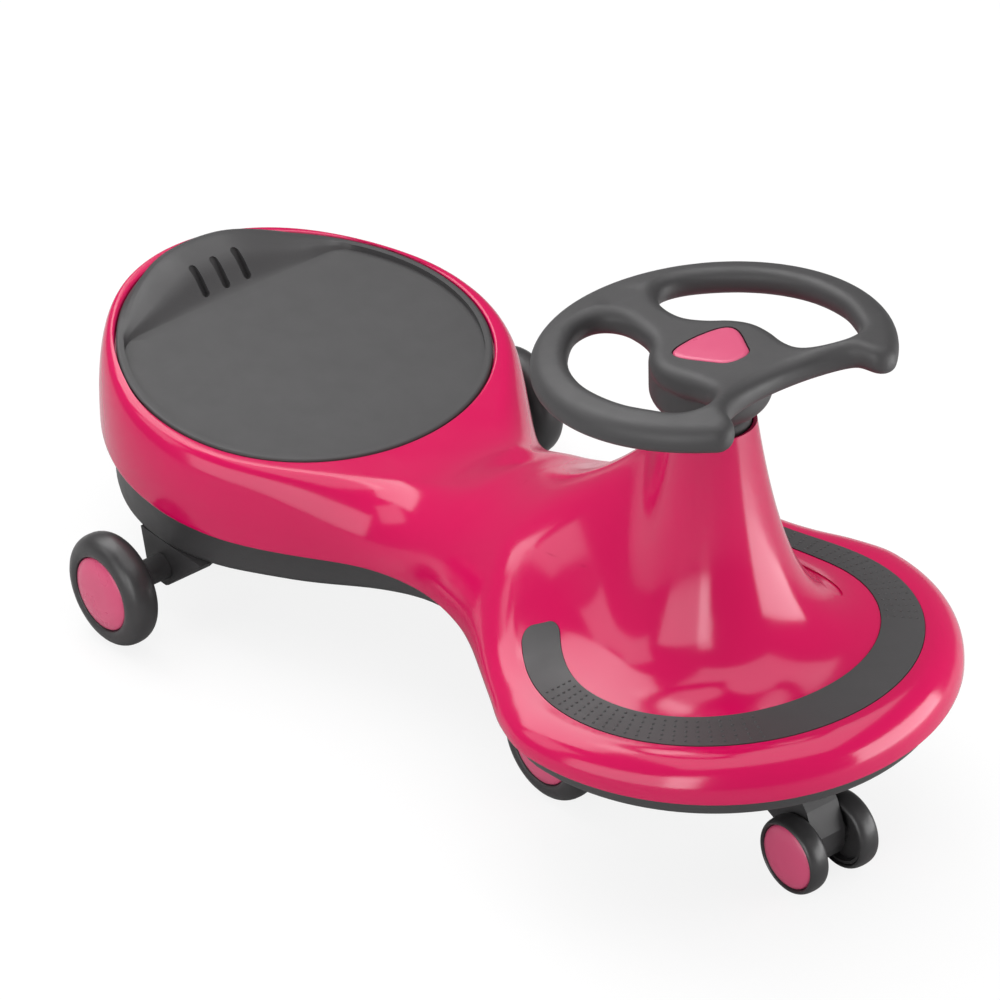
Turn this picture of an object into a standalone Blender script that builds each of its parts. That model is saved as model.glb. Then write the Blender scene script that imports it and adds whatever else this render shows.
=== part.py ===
# Swing car: a ride-on toy that is driven by swinging its steering wheel.
# Metres, +Z up, +X forward. The floor is z = 0, and the origin lies on the
# floor under the middle of the car.
#
# The car has a lobe with the seat, a narrow waist and a round foot deck.
# A steering column stands in the middle of the deck, inside a tall flared
# cone. Under the deck the column turns a ribbed yoke: two main wheels trail
# behind the column and a pair of small nose wheels runs ahead of it.

import math

import bmesh
import bpy
import numpy as np
from mathutils import Matrix, Vector

# Lengths measured along X from the steering column are written "from the
# column"; COLUMN_X moves them into the frame of the car.
COLUMN_X = 0.2226

# Parting line between the upper shell and the under-tray. Round the seat it
# lies in a plane parallel to the seat; it rises along the waist to the deck.
LOBE_PARTING_Z = 0.1035
DECK_PARTING_Z = 0.1242
DECK_R = 0.1693
LOBE_X = -0.4500
LOBE_HALF_LENGTH = 0.1645
LOBE_HALF_WIDTH = 0.1535
LOBE_EGG = 0.055
WAIST_X = -0.240
# half width of the outline between the lobe and the deck, (from the column, y)
WAIST_STATIONS = ((-0.4410, 0.1537), (-0.4238, 0.1530), (-0.4056, 0.1498), (-0.3892, 0.1449), (-0.3737, 0.1384),
                  (-0.3542, 0.1273), (-0.3348, 0.1152), (-0.3160, 0.1034), (-0.2965, 0.0925), (-0.2800, 0.0858),
                  (-0.2620, 0.0821), (-0.2426, 0.0810), (-0.2170, 0.0831), (-0.1872, 0.0898), (-0.1494, 0.1026),
                  (-0.1222, 0.1150), (-0.0952, 0.1292), (-0.0624, 0.1465), (-0.0354, 0.1605), (0.0, 0.1693))

# Upper shell
SHELL_T = 0.0040
SKIRT_H = 0.0040
DECK_Z = 0.1458
DECK_SLOPE = 0.066
SEAT_X = -0.4578
SEAT_HALF_LENGTH = 0.1398
SEAT_HALF_WIDTH = 0.1359
SEAT_EGG = 0.0685
SEAT_RIM_Z = 0.1638
SEAT_SLOPE = -0.1029
SEAT_PAN_DEPTH = 0.0075
CONE_TOP_R = 0.0290
CONE_TOP_Z = 0.3190
CONE_HEIGHT = 0.1735
CONE_FLARE = 0.0234
CONE_BORE_R = 0.0260
CONE_BORE_Z = 0.2960
RIDGE_STRETCH = 0.18

# Foot grip pad, an arc round the deck that is open towards the waist
PAD_X_OUT = 0.0087
PAD_RX_OUT = 0.1336
PAD_RY_OUT = 0.1386
PAD_X_IN = 0.0059
PAD_RX_IN = 0.1036
PAD_RY_IN = 0.1127
PAD_END_DEG = 129.0
PAD_SINK = 0.0020
PAD_T = 0.0023
BADGE_X = 0.0000
BADGE_Y = 0.0860
BADGE_HALF_LENGTH = 0.0260
BADGE_HALF_WIDTH = 0.0120
BADGE_SINK = 0.0010
GAP = 0.0003

# Under-tray
TRAY_INSET = SHELL_T + 0.0005
TRAY_T = 0.0030
TRAY_LIP_H = 0.0038
TRAY_Z_LOBE = 0.0710
TRAY_Z_DECK = 0.1115

# Wheels: the rear pair and the pair on the yoke are alike
WHEEL_R = 0.0427
WHEEL_HALF_W = 0.0134
REAR_X = -0.4383
REAR_FACE_Y = 0.2008
YOKE_WHEEL_X = -0.0885
YOKE_FACE_Y = 0.0855
NOSE_X = 0.1075
NOSE_FACE_Y = 0.0309
NOSE_R = 0.0284
NOSE_HALF_W = 0.0083
NOSE_Z = 0.0313
CAP_R = 0.0282
NOSE_CAP_R = 0.0240
AXLE_R = 0.0050
NOSE_AXLE_R = 0.0035

# Steering column and wheel
SHAFT_R = 0.0095
SHAFT_BOTTOM = 0.0470
SHAFT_TOP = 0.3700
STEER_Z = 0.3744
STEER_R = 0.1232
STEER_TILT = 3.6
STEER_EDGE = 0.0105
STEER_FLAT = 0.0022
HUB_R = 0.0437
HUB_BOTTOM = 0.3315
NECK_R = 0.0254
NECK_BOTTOM = 0.3110


# Scene, collections and materials

for old in list(bpy.data.objects):
    bpy.data.objects.remove(old, do_unlink=True)

parts = bpy.data.collections.new("Swing car")
bpy.context.scene.collection.children.link(parts)
cutters = bpy.data.collections.new("Cutters")
bpy.context.scene.collection.children.link(cutters)


def material(name, rgb, rough, metal=0.0):
    mat = bpy.data.materials.new(name)
    mat.use_nodes = True
    bsdf = mat.node_tree.nodes["Principled BSDF"]
    bsdf.inputs["Base Color"].default_value = (*rgb, 1.0)
    bsdf.inputs["Roughness"].default_value = rough
    bsdf.inputs["Metallic"].default_value = metal
    mat.diffuse_color = (*rgb, 1.0)
    return mat


PINK = (0.63, 0.014, 0.105)
GREY = (0.075, 0.072, 0.073)
DARK = (0.045, 0.043, 0.044)
STEEL = (0.55, 0.55, 0.55)
NYLON = (0.75, 0.75, 0.72)


def add_object(name, mesh, rgb, rough, metal=0.0, collection=None, location=(0, 0, 0)):
    obj = bpy.data.objects.new(name, mesh)
    (collection or parts).objects.link(obj)
    obj.location = location
    if collection is cutters:
        obj.hide_render = True
        obj.display_type = "WIRE"
    else:
        mesh.materials.clear()
        mesh.materials.append(material(name, rgb, rough, metal))
    return obj


def finish_mesh(bm, name, smooth_deg=35.0):
    mesh = bpy.data.meshes.new(name)
    bmesh.ops.recalc_face_normals(bm, faces=bm.faces)
    bm.to_mesh(mesh)
    bm.free()
    mesh.shade_smooth()
    mesh.set_sharp_from_angle(angle=math.radians(smooth_deg))
    return mesh


def cutter(name, bm):
    return add_object(name, finish_mesh(bm, name), GREY, 0.5, collection=cutters)


def boolean(obj, tool, operation="DIFFERENCE"):
    mod = obj.modifiers.new(operation.title(), "BOOLEAN")
    mod.operation = operation
    mod.solver = "EXACT"
    mod.object = tool


def cylinder(bm, radius, p0, p1, segments=24, radius2=None):
    p0 = Vector(p0)
    p1 = Vector(p1)
    axis = p1 - p0
    turn = axis.to_track_quat("Z", "Y").to_matrix().to_4x4()
    place = Matrix.Translation((p0 + p1) / 2) @ turn
    top = radius if radius2 is None else radius2
    bmesh.ops.create_cone(bm, cap_ends=True, segments=segments, radius1=radius,
                          radius2=top, depth=axis.length, matrix=place)


def prism(bm, outline, lo, hi, axis="Z"):
    """A flat outline pulled from lo to hi along one axis."""
    def point(u, v, w):
        if axis == "Z":
            return (u, v, w)
        return (u, w, v)
    bottom = [bm.verts.new(point(u, v, lo)) for u, v in outline]
    top = [bm.verts.new(point(u, v, hi)) for u, v in outline]
    bm.faces.new(bottom)
    bm.faces.new(top)
    count = len(outline)
    for i in range(count):
        j = (i + 1) % count
        bm.faces.new((bottom[i], bottom[j], top[j], top[i]))


def turned(name, profile, centre, side, rgb, rough, metal=0.0, segments=28):
    """A ring turned about the Y axis. The profile holds (radius, outward y)."""
    bm = bmesh.new()
    rings = []
    for radius, out in profile:
        ring = []
        for k in range(segments):
            a = 2 * math.pi * k / segments - math.pi / 2
            ring.append(bm.verts.new((radius * math.cos(a), side * out, radius * math.sin(a))))
        rings.append(ring)
    count = len(rings)
    for r in range(count):
        one = rings[r]
        two = rings[(r + 1) % count]
        for k in range(segments):
            m = (k + 1) % segments
            bm.faces.new((one[k], one[m], two[m], two[k]))
    return add_object(name, finish_mesh(bm, name), rgb, rough, metal, location=centre)


def disc(name, profile, centre, side, rgb, rough, metal=0.0, segments=24):
    """A solid turned about the Y axis whose first and last rings are capped."""
    bm = bmesh.new()
    rings = []
    for radius, out in profile:
        ring = []
        for k in range(segments):
            a = 2 * math.pi * k / segments - math.pi / 2
            ring.append(bm.verts.new((radius * math.cos(a), side * out, radius * math.sin(a))))
        rings.append(ring)
    for one, two in zip(rings, rings[1:]):
        for k in range(segments):
            m = (k + 1) % segments
            bm.faces.new((one[k], one[m], two[m], two[k]))
    bm.faces.new(rings[0])
    bm.faces.new(rings[-1])
    return add_object(name, finish_mesh(bm, name), rgb, rough, metal, location=centre)


# Outline and surface functions. All of them work from the column.

def smoothstep(lo, hi, value):
    t = np.clip((np.asarray(value, float) - lo) / (hi - lo), 0.0, 1.0)
    return t * t * (3 - 2 * t)


def hermite(stations, x):
    """Smooth curve through the stations, level at both ends."""
    xs = np.array([s[0] for s in stations])
    ys = np.array([s[1] for s in stations])
    slope = np.zeros(len(xs))
    slope[1:-1] = (ys[2:] - ys[:-2]) / (xs[2:] - xs[:-2])
    x = np.clip(x, xs[0], xs[-1])
    i = np.clip(np.searchsorted(xs, x) - 1, 0, len(xs) - 2)
    h = xs[i + 1] - xs[i]
    t = (x - xs[i]) / h
    return ((2 * t**3 - 3 * t**2 + 1) * ys[i] + (t**3 - 2 * t**2 + t) * h * slope[i]
            + (3 * t**2 - 2 * t**3) * ys[i + 1] + (t**3 - t**2) * h * slope[i + 1])


def half_outline(rear_steps, waist_steps, neck_steps, front_steps):
    """Left half of the parting outline, rear tip to front tip."""
    pts = []
    widest = math.acos((WAIST_STATIONS[0][0] - LOBE_X) / LOBE_HALF_LENGTH)
    for a in np.linspace(math.pi, widest, rear_steps, endpoint=False):
        c = math.cos(a)
        pts.append((LOBE_X + LOBE_HALF_LENGTH * c, LOBE_HALF_WIDTH * (1 + LOBE_EGG * c) * math.sin(a)))
    for x in np.linspace(WAIST_STATIONS[0][0], WAIST_X, waist_steps, endpoint=False):
        pts.append((x, float(hermite(WAIST_STATIONS, x))))
    for x in np.linspace(WAIST_X, 0.0, neck_steps, endpoint=False):
        pts.append((x, float(hermite(WAIST_STATIONS, x))))
    for a in np.linspace(math.pi / 2, 0.0, front_steps + 1):
        pts.append((DECK_R * math.cos(a), DECK_R * math.sin(a)))
    pts[0] = (pts[0][0], 0.0)
    pts[-1] = (pts[-1][0], 0.0)
    return np.array(pts)


DENSE = half_outline(60, 60, 60, 60)
DENSE = np.vstack([DENSE, DENSE[-2:0:-1] * (1, -1)])


def edge_distance(x, y):
    """Distance from a point to the parting outline."""
    p = np.stack([np.ravel(x), np.ravel(y)], 1)[:, None]
    a = DENSE[None]
    b = np.roll(DENSE, -1, 0)[None]
    ab = b - a
    t = np.clip(((p - a) * ab).sum(-1) / (ab**2).sum(-1), 0, 1)
    near = a + t[..., None] * ab
    return np.sqrt(((p - near)**2).sum(-1)).min(1).reshape(np.shape(x))


def parting(x):
    """Height of the parting line."""
    x = np.asarray(x, float)
    lobe = LOBE_PARTING_Z + SEAT_SLOPE * (x - SEAT_X)
    return lobe + (DECK_PARTING_Z - lobe) * smoothstep(-0.37, -0.10, x)


def seat_plane(x):
    return SEAT_RIM_Z + SEAT_SLOPE * (x - SEAT_X)


def deck_plane(x):
    return DECK_Z + DECK_SLOPE * (x - PAD_X_OUT)


def top_surface(x, y):
    """Upper surface without its rounded outer edge."""
    x = np.asarray(x, float)
    y = np.asarray(y, float)
    blend = smoothstep(-0.325, -0.12, x)
    base = seat_plane(x) * (1 - blend) + deck_plane(x) * blend
    r = np.hypot(x, y)
    horn = CONE_HEIGHT * np.exp(-(np.maximum(r, CONE_TOP_R) - CONE_TOP_R) / CONE_FLARE)
    # behind the column the flare is drawn out into the ridge that runs to the seat
    back = np.maximum(-x, 0.0)
    along = CONE_TOP_R + RIDGE_STRETCH * np.maximum(back - CONE_TOP_R, 0.0)
    crest = CONE_HEIGHT * np.exp(-(along - CONE_TOP_R) / CONE_FLARE)
    crest = crest * smoothstep(-0.322, -0.205, x) * smoothstep(0.0, 0.03, back)
    width = 0.030 + 0.055 * smoothstep(0.0, 0.15, back) + 0.02 * smoothstep(0.13, 0.25, back)
    ridge = crest * np.exp(-(np.abs(y) / width)**3)
    # rounded maximum of the two, sharp at the cone's mouth where they are equal
    high = np.maximum(horn, ridge)
    share = high / CONE_HEIGHT
    soft = 0.0001 + 0.140 * share * (1 - share)
    close = np.maximum(soft - np.abs(horn - ridge), 0.0)
    return base + high + close**2 / (4 * soft)


def edge_width(x):
    """Width of the rounded outer edge: narrow round the seat, wide at the waist."""
    x = np.asarray(x, float)
    wide = 0.0145 + 0.0025 * smoothstep(-0.60, -0.50, x)
    wide = wide + 0.0315 * smoothstep(-0.42, -0.26, x)
    return wide - 0.0240 * smoothstep(-0.20, -0.06, x)


def edge_round(u, x):
    """Share of the height at u, from 0 at the outer edge to 1 on top."""
    power = 2.4 - 0.4 * smoothstep(-0.42, -0.25, x)
    u = np.clip(u, 0.0, 1.0)
    return (1 - (1 - u)**power)**(1 / power)


def outer_height(x, y):
    foot = parting(x) + SKIRT_H
    share = edge_round(edge_distance(x, y) / edge_width(x), x)
    return foot + (top_surface(x, y) - foot) * share


def inner_edge_width(x):
    return np.maximum(edge_width(x) - 0.0062, 0.0019)


def inner_height(x, y):
    """Underside of the shell, one wall thickness below the outer surface."""
    step = 0.0005
    gx = (top_surface(x + step, y) - top_surface(x - step, y)) / (2 * step)
    gy = (top_surface(x, y + step) - top_surface(x, y - step)) / (2 * step)
    drop = np.minimum(SHELL_T * np.sqrt(1 + gx**2 + gy**2), 0.030)
    foot = parting(x) + SKIRT_H
    share = edge_round((edge_distance(x, y) - SHELL_T) / inner_edge_width(x), x)
    return foot + (top_surface(x, y) - drop - foot) * share


def seat_rim(angle, extra=0.0):
    """Point of the seat's rim outline, seen from above."""
    c = math.cos(angle)
    s = math.sin(angle)
    x = SEAT_X + (SEAT_HALF_LENGTH + extra) * c
    return x, (SEAT_HALF_WIDTH + extra) * (1 + SEAT_EGG * c) * s


def pad_edge(angle, inner, extra=0.0):
    if inner:
        return PAD_X_IN + (PAD_RX_IN - extra) * math.cos(angle), (PAD_RY_IN - extra) * math.sin(angle)
    return PAD_X_OUT + (PAD_RX_OUT + extra) * math.cos(angle), (PAD_RY_OUT + extra) * math.sin(angle)


# Upper shell

OUTLINE_STEPS = (11, 8, 7, 9)
EDGE_STEPS = (0.0, 0.060, 0.23, 0.52, 1.0)
HORN_STEPS = (0.78, 0.58, 0.42, 0.30, 0.205, 0.13, 0.065, 0.0)
INNER_EDGE_STEPS = (0.0, 0.25, 1.0)
INNER_HORN_STEPS = (0.74, 0.51, 0.33, 0.19, 0.085, 0.0)
WAIST_CUTS = (1.0, 0.96, 0.85, 0.62, 0.32, 0.0, -0.32, -0.62, -0.85, -0.96, -1.0)


def inward(points):
    """Unit normals of a closed loop, pointing into it."""
    ahead = np.roll(points, -1, 0) - np.roll(points, 1, 0)
    ahead /= np.linalg.norm(ahead, axis=1)[:, None]
    normal = np.stack([ahead[:, 1], -ahead[:, 0]], 1)
    middle = points.mean(0)
    if ((middle - points) * normal).sum() < 0:
        normal = -normal
    return normal


def shell_loops():
    half = half_outline(*OUTLINE_STEPS)
    full = np.vstack([half, half[-2:0:-1] * (1, -1)])
    normal = inward(full)
    n = len(half)
    at = OUTLINE_STEPS[0] + OUTLINE_STEPS[1]
    waist_w = half[at][1]
    left = list(range(at, -1, -1))
    right = [len(full) - k for k in range(1, at + 1)]
    rear = left + right
    front = list(range(len(full) - at, n - 1, -1)) + list(range(n - 1, at - 1, -1))
    return full, normal, rear, front, waist_w


def build_shell():
    full, normal, rear_ids, front_ids, waist_w = shell_loops()
    bm = bmesh.new()
    inset = full + normal * SHELL_T
    cuts_out = [(WAIST_X, waist_w * c) for c in WAIST_CUTS]
    cuts_in = [(WAIST_X, (waist_w - SHELL_T) * c) for c in WAIST_CUTS]
    cache = {}

    def vert(x, y, z):
        key = (round(x, 7), round(y, 7), round(z, 7))
        if key not in cache:
            cache[key] = bm.verts.new((x + COLUMN_X, y, z))
        return cache[key]

    def rows(loop, centre, stop, inner, ring_steps):
        """Rings from the outer loop in to the stop curve, one list a spoke."""
        spokes = []
        for x0, y0, on_edge in loop:
            a = math.atan2(y0 - centre[1], x0 - centre[0])
            x1, y1 = stop(a, x0, y0)
            length = math.hypot(x0 - x1, y0 - y1)
            wide = float(inner_edge_width(x0) if inner else edge_width(x0))
            wide = min(wide, 0.93 * length)
            if not on_edge:
                wide = min(0.10 * length, wide)
            dist = [wide * s for s in (INNER_EDGE_STEPS if inner else EDGE_STEPS)]
            dist += [wide + (length - wide) * (1 - g) for g in ring_steps]
            spoke = []
            for d in dist:
                f = d / length
                x = x0 + (x1 - x0) * f
                y = y0 + (y1 - y0) * f
                spoke.append((x, y))
            spokes.append(spoke)
        grid = []
        for spoke, start in zip(spokes, loop):
            xs = np.array([p[0] for p in spoke])
            ys = np.array([p[1] for p in spoke])
            zs = inner_height(xs, ys) if inner else outer_height(xs, ys)
            if start[2]:
                zs[0] = parting(xs[0]) + SKIRT_H
            grid.append([(x, y, z) for x, y, z in zip(xs, ys, zs)])
        return grid

    def skin(grid, flip):
        count = len(grid)
        for i in range(count):
            j = (i + 1) % count
            for k in range(len(grid[i]) - 1):
                quad = [vert(*grid[i][k]), vert(*grid[j][k]), vert(*grid[j][k + 1]), vert(*grid[i][k + 1])]
                quad = [v for n, v in enumerate(quad) if v not in quad[:n]]
                if len(quad) > 2:
                    bm.faces.new(quad[::-1] if flip else quad)

    for inner in (False, True):
        edge = inset if inner else full
        cuts = cuts_in if inner else cuts_out
        rim_extra = 0.0035 if inner else 0.0
        rear = [(edge[i][0], edge[i][1], True) for i in rear_ids]
        rear += [(x, y, False) for x, y in cuts[-2:0:-1]]
        front = [(edge[i][0], edge[i][1], True) for i in front_ids]
        front += [(x, y, False) for x, y in cuts[1:-1]]

        def stop_rear(a, x0, y0):
            # the rim point that lies on the spoke from the seat's centre
            best = min((abs(math.remainder(math.atan2(seat_rim(t, rim_extra)[1],
                                                      seat_rim(t, rim_extra)[0] - SEAT_X) - a,
                                           2 * math.pi)), t)
                       for t in np.linspace(-math.pi, math.pi, 1441))
            return seat_rim(best[1], rim_extra)

        def stop_front(a, x0, y0):
            return CONE_TOP_R * math.cos(a), CONE_TOP_R * math.sin(a)

        rear_grid = rows(rear, (SEAT_X, 0.0), stop_rear, inner, (0.5, 0.0) if inner else (0.70, 0.38, 0.0))
        front_grid = rows(front, (0.0, 0.0), stop_front, inner, INNER_HORN_STEPS if inner else HORN_STEPS)
        # the two grids meet on the waist line with the same heights
        skin(rear_grid, inner)
        skin(front_grid, inner)

        # the seat pan: a small step down inside the rim, then a flat floor
        step = []
        for spoke in rear_grid:
            x, y, z = spoke[-1]
            reach = math.hypot(x - SEAT_X, y)
            pull = (reach - 0.0002) / reach
            px = SEAT_X + (x - SEAT_X) * pull
            py = y * pull
            deep = SEAT_PAN_DEPTH + (SHELL_T if inner else 0.0)
            step.append((px, py, seat_plane(px) - deep))
        ring = [spoke[-1] for spoke in rear_grid]
        count = len(ring)
        for i in range(count):
            j = (i + 1) % count
            quad = [vert(*ring[i]), vert(*ring[j]), vert(*step[j]), vert(*step[i])]
            bm.faces.new(quad[::-1] if inner else quad)
        floor = [vert(*p) for p in step]
        bm.faces.new(floor[::-1] if inner else floor)

        # the cone's mouth
        mouth = [spoke[-1] for spoke in front_grid]
        if inner:
            low = mouth
        else:
            high = mouth

    # skirt and lower edge
    count = len(full)
    low_z = parting(full[:, 0])

    def skirt(point, lift):
        return vert(point[0], point[1], point[2] + lift)

    outside = [(x, y, z) for (x, y), z in zip(full, low_z)]
    inside = [(x, y, z) for (x, y), z in zip(inset, low_z)]
    tops = [(x, y, float(parting(x)) + SKIRT_H) for x, y in inset]
    for i in range(count):
        j = (i + 1) % count
        bm.faces.new((skirt(outside[i], SKIRT_H), skirt(outside[j], SKIRT_H), skirt(outside[j], 0),
                      skirt(outside[i], 0)))
        bm.faces.new((skirt(outside[i], 0), skirt(outside[j], 0), skirt(inside[j], 0), skirt(inside[i], 0)))
        bm.faces.new((skirt(inside[i], 0), skirt(inside[j], 0), vert(*tops[j]), vert(*tops[i])))

    # the cone's top face and its bore
    count = len(high)

    def at_radius(p, radius, z):
        a = math.atan2(p[1], p[0])
        return radius * math.cos(a), radius * math.sin(a), z

    rings = [high,
             [at_radius(p, CONE_TOP_R - 0.0012, CONE_TOP_Z + 0.0008) for p in high],
             [at_radius(p, CONE_BORE_R, CONE_TOP_Z + 0.0004) for p in high],
             [at_radius(p, CONE_BORE_R, CONE_BORE_Z) for p in high],
             low]
    for one, two in zip(rings, rings[1:]):
        for i in range(count):
            j = (i + 1) % count
            bm.faces.new((vert(*one[i]), vert(*one[j]), vert(*two[j]), vert(*two[i])))

    mesh = finish_mesh(bm, "body_shell", 40.0)
    return add_object("body_shell", mesh, PINK, 0.18)


shell = build_shell()


# Foot grip pad and its recess. Both follow the deck surface.

PAD_STEPS = 34


def pad_outline(grow):
    """Closed outline of the pad: outer arc, round end, inner arc, round end."""
    end = math.radians(PAD_END_DEG)
    corner = 0.10
    pts = []
    outer = np.linspace(-end + corner * 0.55, end - corner * 0.55, PAD_STEPS)
    inner = np.linspace(end - corner * 0.75, -end + corner * 0.75, PAD_STEPS)
    for a in outer:
        pts.append(pad_edge(a, False, grow))
    mid = pad_mix(end, 0.80, grow)
    pts.append(mid)
    pts.append(pad_mix(end, 0.20, grow))
    for a in inner:
        pts.append(pad_edge(a, True, grow))
    pts.append(pad_mix(-end, 0.20, grow))
    pts.append(pad_mix(-end, 0.80, grow))
    return pts


def pad_mix(angle, share, grow):
    """A point between the inner and the outer edge of the pad."""
    xi, yi = pad_edge(angle, True)
    xo, yo = pad_edge(angle, False)
    x = xi + (xo - xi) * share
    y = yi + (yo - yi) * share
    r = math.hypot(x, y)
    turn = grow / r * (1 if angle > 0 else -1)
    c = math.cos(turn)
    s = math.sin(turn)
    return x * c - y * s, x * s + y * c


def draped_band(bm, grow, low, high):
    """A band over the pad's outline whose faces follow the deck."""
    pts = pad_outline(grow)
    n = PAD_STEPS
    outer = [pts[-1]] + pts[:n + 1]
    inner = pts[n + 1:2 * n + 3][::-1]
    shares = (0.0, 0.5, 1.0)
    top = []
    bottom = []
    for (xo, yo), (xi, yi) in zip(outer, inner):
        col_t = []
        col_b = []
        for s in shares:
            x = xo + (xi - xo) * s
            y = yo + (yi - yo) * s
            z = float(outer_height(x, y))
            col_t.append(bm.verts.new((x + COLUMN_X, y, z + high)))
            col_b.append(bm.verts.new((x + COLUMN_X, y, z + low)))
        top.append(col_t)
        bottom.append(col_b)
    n = len(top)
    for i in range(n - 1):
        for k in range(2):
            bm.faces.new((top[i][k], top[i][k + 1], top[i + 1][k + 1], top[i + 1][k]))
            bm.faces.new((bottom[i][k], bottom[i + 1][k], bottom[i + 1][k + 1], bottom[i][k + 1]))
        bm.faces.new((top[i][0], top[i + 1][0], bottom[i + 1][0], bottom[i][0]))
        bm.faces.new((top[i][2], bottom[i][2], bottom[i + 1][2], top[i + 1][2]))
    for i in (0, n - 1):
        for k in range(2):
            bm.faces.new((top[i][k], top[i][k + 1], bottom[i][k + 1], bottom[i][k]))


bm = bmesh.new()
draped_band(bm, 0.0004, -PAD_SINK, 0.004)
pad_recess = cutter("pad recess", bm)
boolean(shell, pad_recess)

# the bare oval where the badge sat, on the left foot of the cone
bm = bmesh.new()
spots = [(BADGE_X, BADGE_Y)]
for share in (0.5, 1.0):
    for k in range(20):
        a = 2 * math.pi * k / 20
        spots.append((BADGE_X + share * BADGE_HALF_LENGTH * math.cos(a),
                      BADGE_Y + share * BADGE_HALF_WIDTH * math.sin(a)))
layers = []
for lift in (-BADGE_SINK, 0.010):
    layers.append([bm.verts.new((x + COLUMN_X, y, float(outer_height(x, y)) + lift)) for x, y in spots])
for layer in layers:
    for k in range(20):
        m = (k + 1) % 20
        bm.faces.new((layer[0], layer[1 + k], layer[1 + m]))
        bm.faces.new((layer[1 + k], layer[21 + k], layer[21 + m], layer[1 + m]))
for k in range(20):
    m = (k + 1) % 20
    bm.faces.new((layers[0][21 + k], layers[0][21 + m], layers[1][21 + m], layers[1][21 + k]))
boolean(shell, cutter("badge recess", bm))

bm = bmesh.new()
draped_band(bm, 0.0, -PAD_SINK + GAP, -PAD_SINK + GAP + PAD_T)
add_object("foot_grip_pad", finish_mesh(bm, "foot_grip_pad"), GREY, 0.6)


# Seat plate: a tray with a thin raised rim and a raised lip at the rear

SEAT_FOOT_X = -0.541
SEAT_FLOOR_DROP = 0.0035
LIP_CREST_X = -0.575
LIP_CREST_H = 0.0220
LIP_HALF_SPAN = 0.100
SEAT_EDGE = 0.0012
SLOT_Y = (-0.0185, 0.0, 0.0185)
SLOT_X0 = -0.5385
SLOT_X1 = -0.5610
SLOT_HALF_W = 0.0030
SLOT_DEPTH = 0.0070


def lip_height(x, y):
    """Height of the rear lip over the rim plane."""
    across = 1 - smoothstep(0.035, LIP_HALF_SPAN, abs(y))
    return LIP_CREST_H * float(across)


def build_seat():
    bm = bmesh.new()
    spokes = 48
    low = []
    grid = []
    for k in range(spokes):
        t = 2 * math.pi * k / spokes
        xo, yo = seat_rim(t, -SEAT_EDGE)
        dx = xo - SEAT_X
        reach = math.hypot(dx, yo)
        ux = dx / reach
        uy = yo / reach
        step_r = reach - 0.0055
        foot_r = step_r
        if ux < -0.05:
            foot_r = min(step_r, (SEAT_FOOT_X - SEAT_X) / ux)
        stations = [(foot_r * 0.5, 0.0), (foot_r * 0.88, 0.0), (foot_r, 0.0004)]
        lip = lip_height(xo, yo)
        # share of the way from the foot to the inner rim, and share of the height
        for share, up in ((0.28, 0.20), (0.62, 0.72), (0.86, 0.97)):
            stations.append((foot_r + (step_r - foot_r) * share, up))
        crest_r = step_r + 0.0006
        spoke = [(r, h) for r, h in stations]
        col = []
        top = SEAT_FLOOR_DROP + lip
        for r, h in spoke:
            x = SEAT_X + ux * r
            y = uy * r
            col.append((x, y, seat_plane(x) - SEAT_FLOOR_DROP + h * top))
        for r, h in ((crest_r, 1.0), (reach - 0.0030, 0.90), (reach - 0.0008, 0.45)):
            x = SEAT_X + ux * r
            y = uy * r
            col.append((x, y, seat_plane(x) + lip * h + 0.0004))
        x = SEAT_X + ux * reach
        y = uy * reach
        col.append((x, y, seat_plane(x) - 0.0008 + 0.15 * lip))
        col.append((x, y, seat_plane(x) - SEAT_PAN_DEPTH + GAP))
        grid.append([bm.verts.new((px + COLUMN_X, py, pz)) for px, py, pz in col])
    count = spokes
    for i in range(count):
        j = (i + 1) % count
        for k in range(len(grid[0]) - 1):
            bm.faces.new((grid[i][k], grid[j][k], grid[j][k + 1], grid[i][k + 1]))
    bm.faces.new([col[0] for col in grid])
    bm.faces.new([col[-1] for col in grid])
    return add_object("seat_plate", finish_mesh(bm, "seat_plate", 40.0), GREY, 0.6)


seat = build_seat()

bm = bmesh.new()
for y in SLOT_Y:
    length = SLOT_X0 - SLOT_X1
    angle = math.radians(43.0)
    outline = []
    for k in range(6):
        a = math.pi * k / 5 - math.pi / 2
        outline.append((0.5 * length / math.cos(angle) + SLOT_HALF_W * math.cos(a), SLOT_HALF_W * math.sin(a)))
    for k in range(6):
        a = math.pi * k / 5 + math.pi / 2
        outline.append((-0.5 * length / math.cos(angle) + SLOT_HALF_W * math.cos(a), SLOT_HALF_W * math.sin(a)))
    mark = set(bm.verts)
    prism(bm, outline, -SLOT_DEPTH, 0.012)
    fresh = [v for v in bm.verts if v not in mark]
    mid_x = (SLOT_X0 + SLOT_X1) / 2
    place = (Matrix.Translation((mid_x + COLUMN_X, y, seat_plane(mid_x) + 0.0095))
             @ Matrix.Rotation(angle, 4, "Y"))
    bmesh.ops.transform(bm, matrix=place, verts=fresh)
boolean(seat, cutter("seat slots", bm))


# Under-tray

def tray_floor(x):
    return TRAY_Z_LOBE + (TRAY_Z_DECK - TRAY_Z_LOBE) * float(smoothstep(-0.36, -0.14, x))


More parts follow.
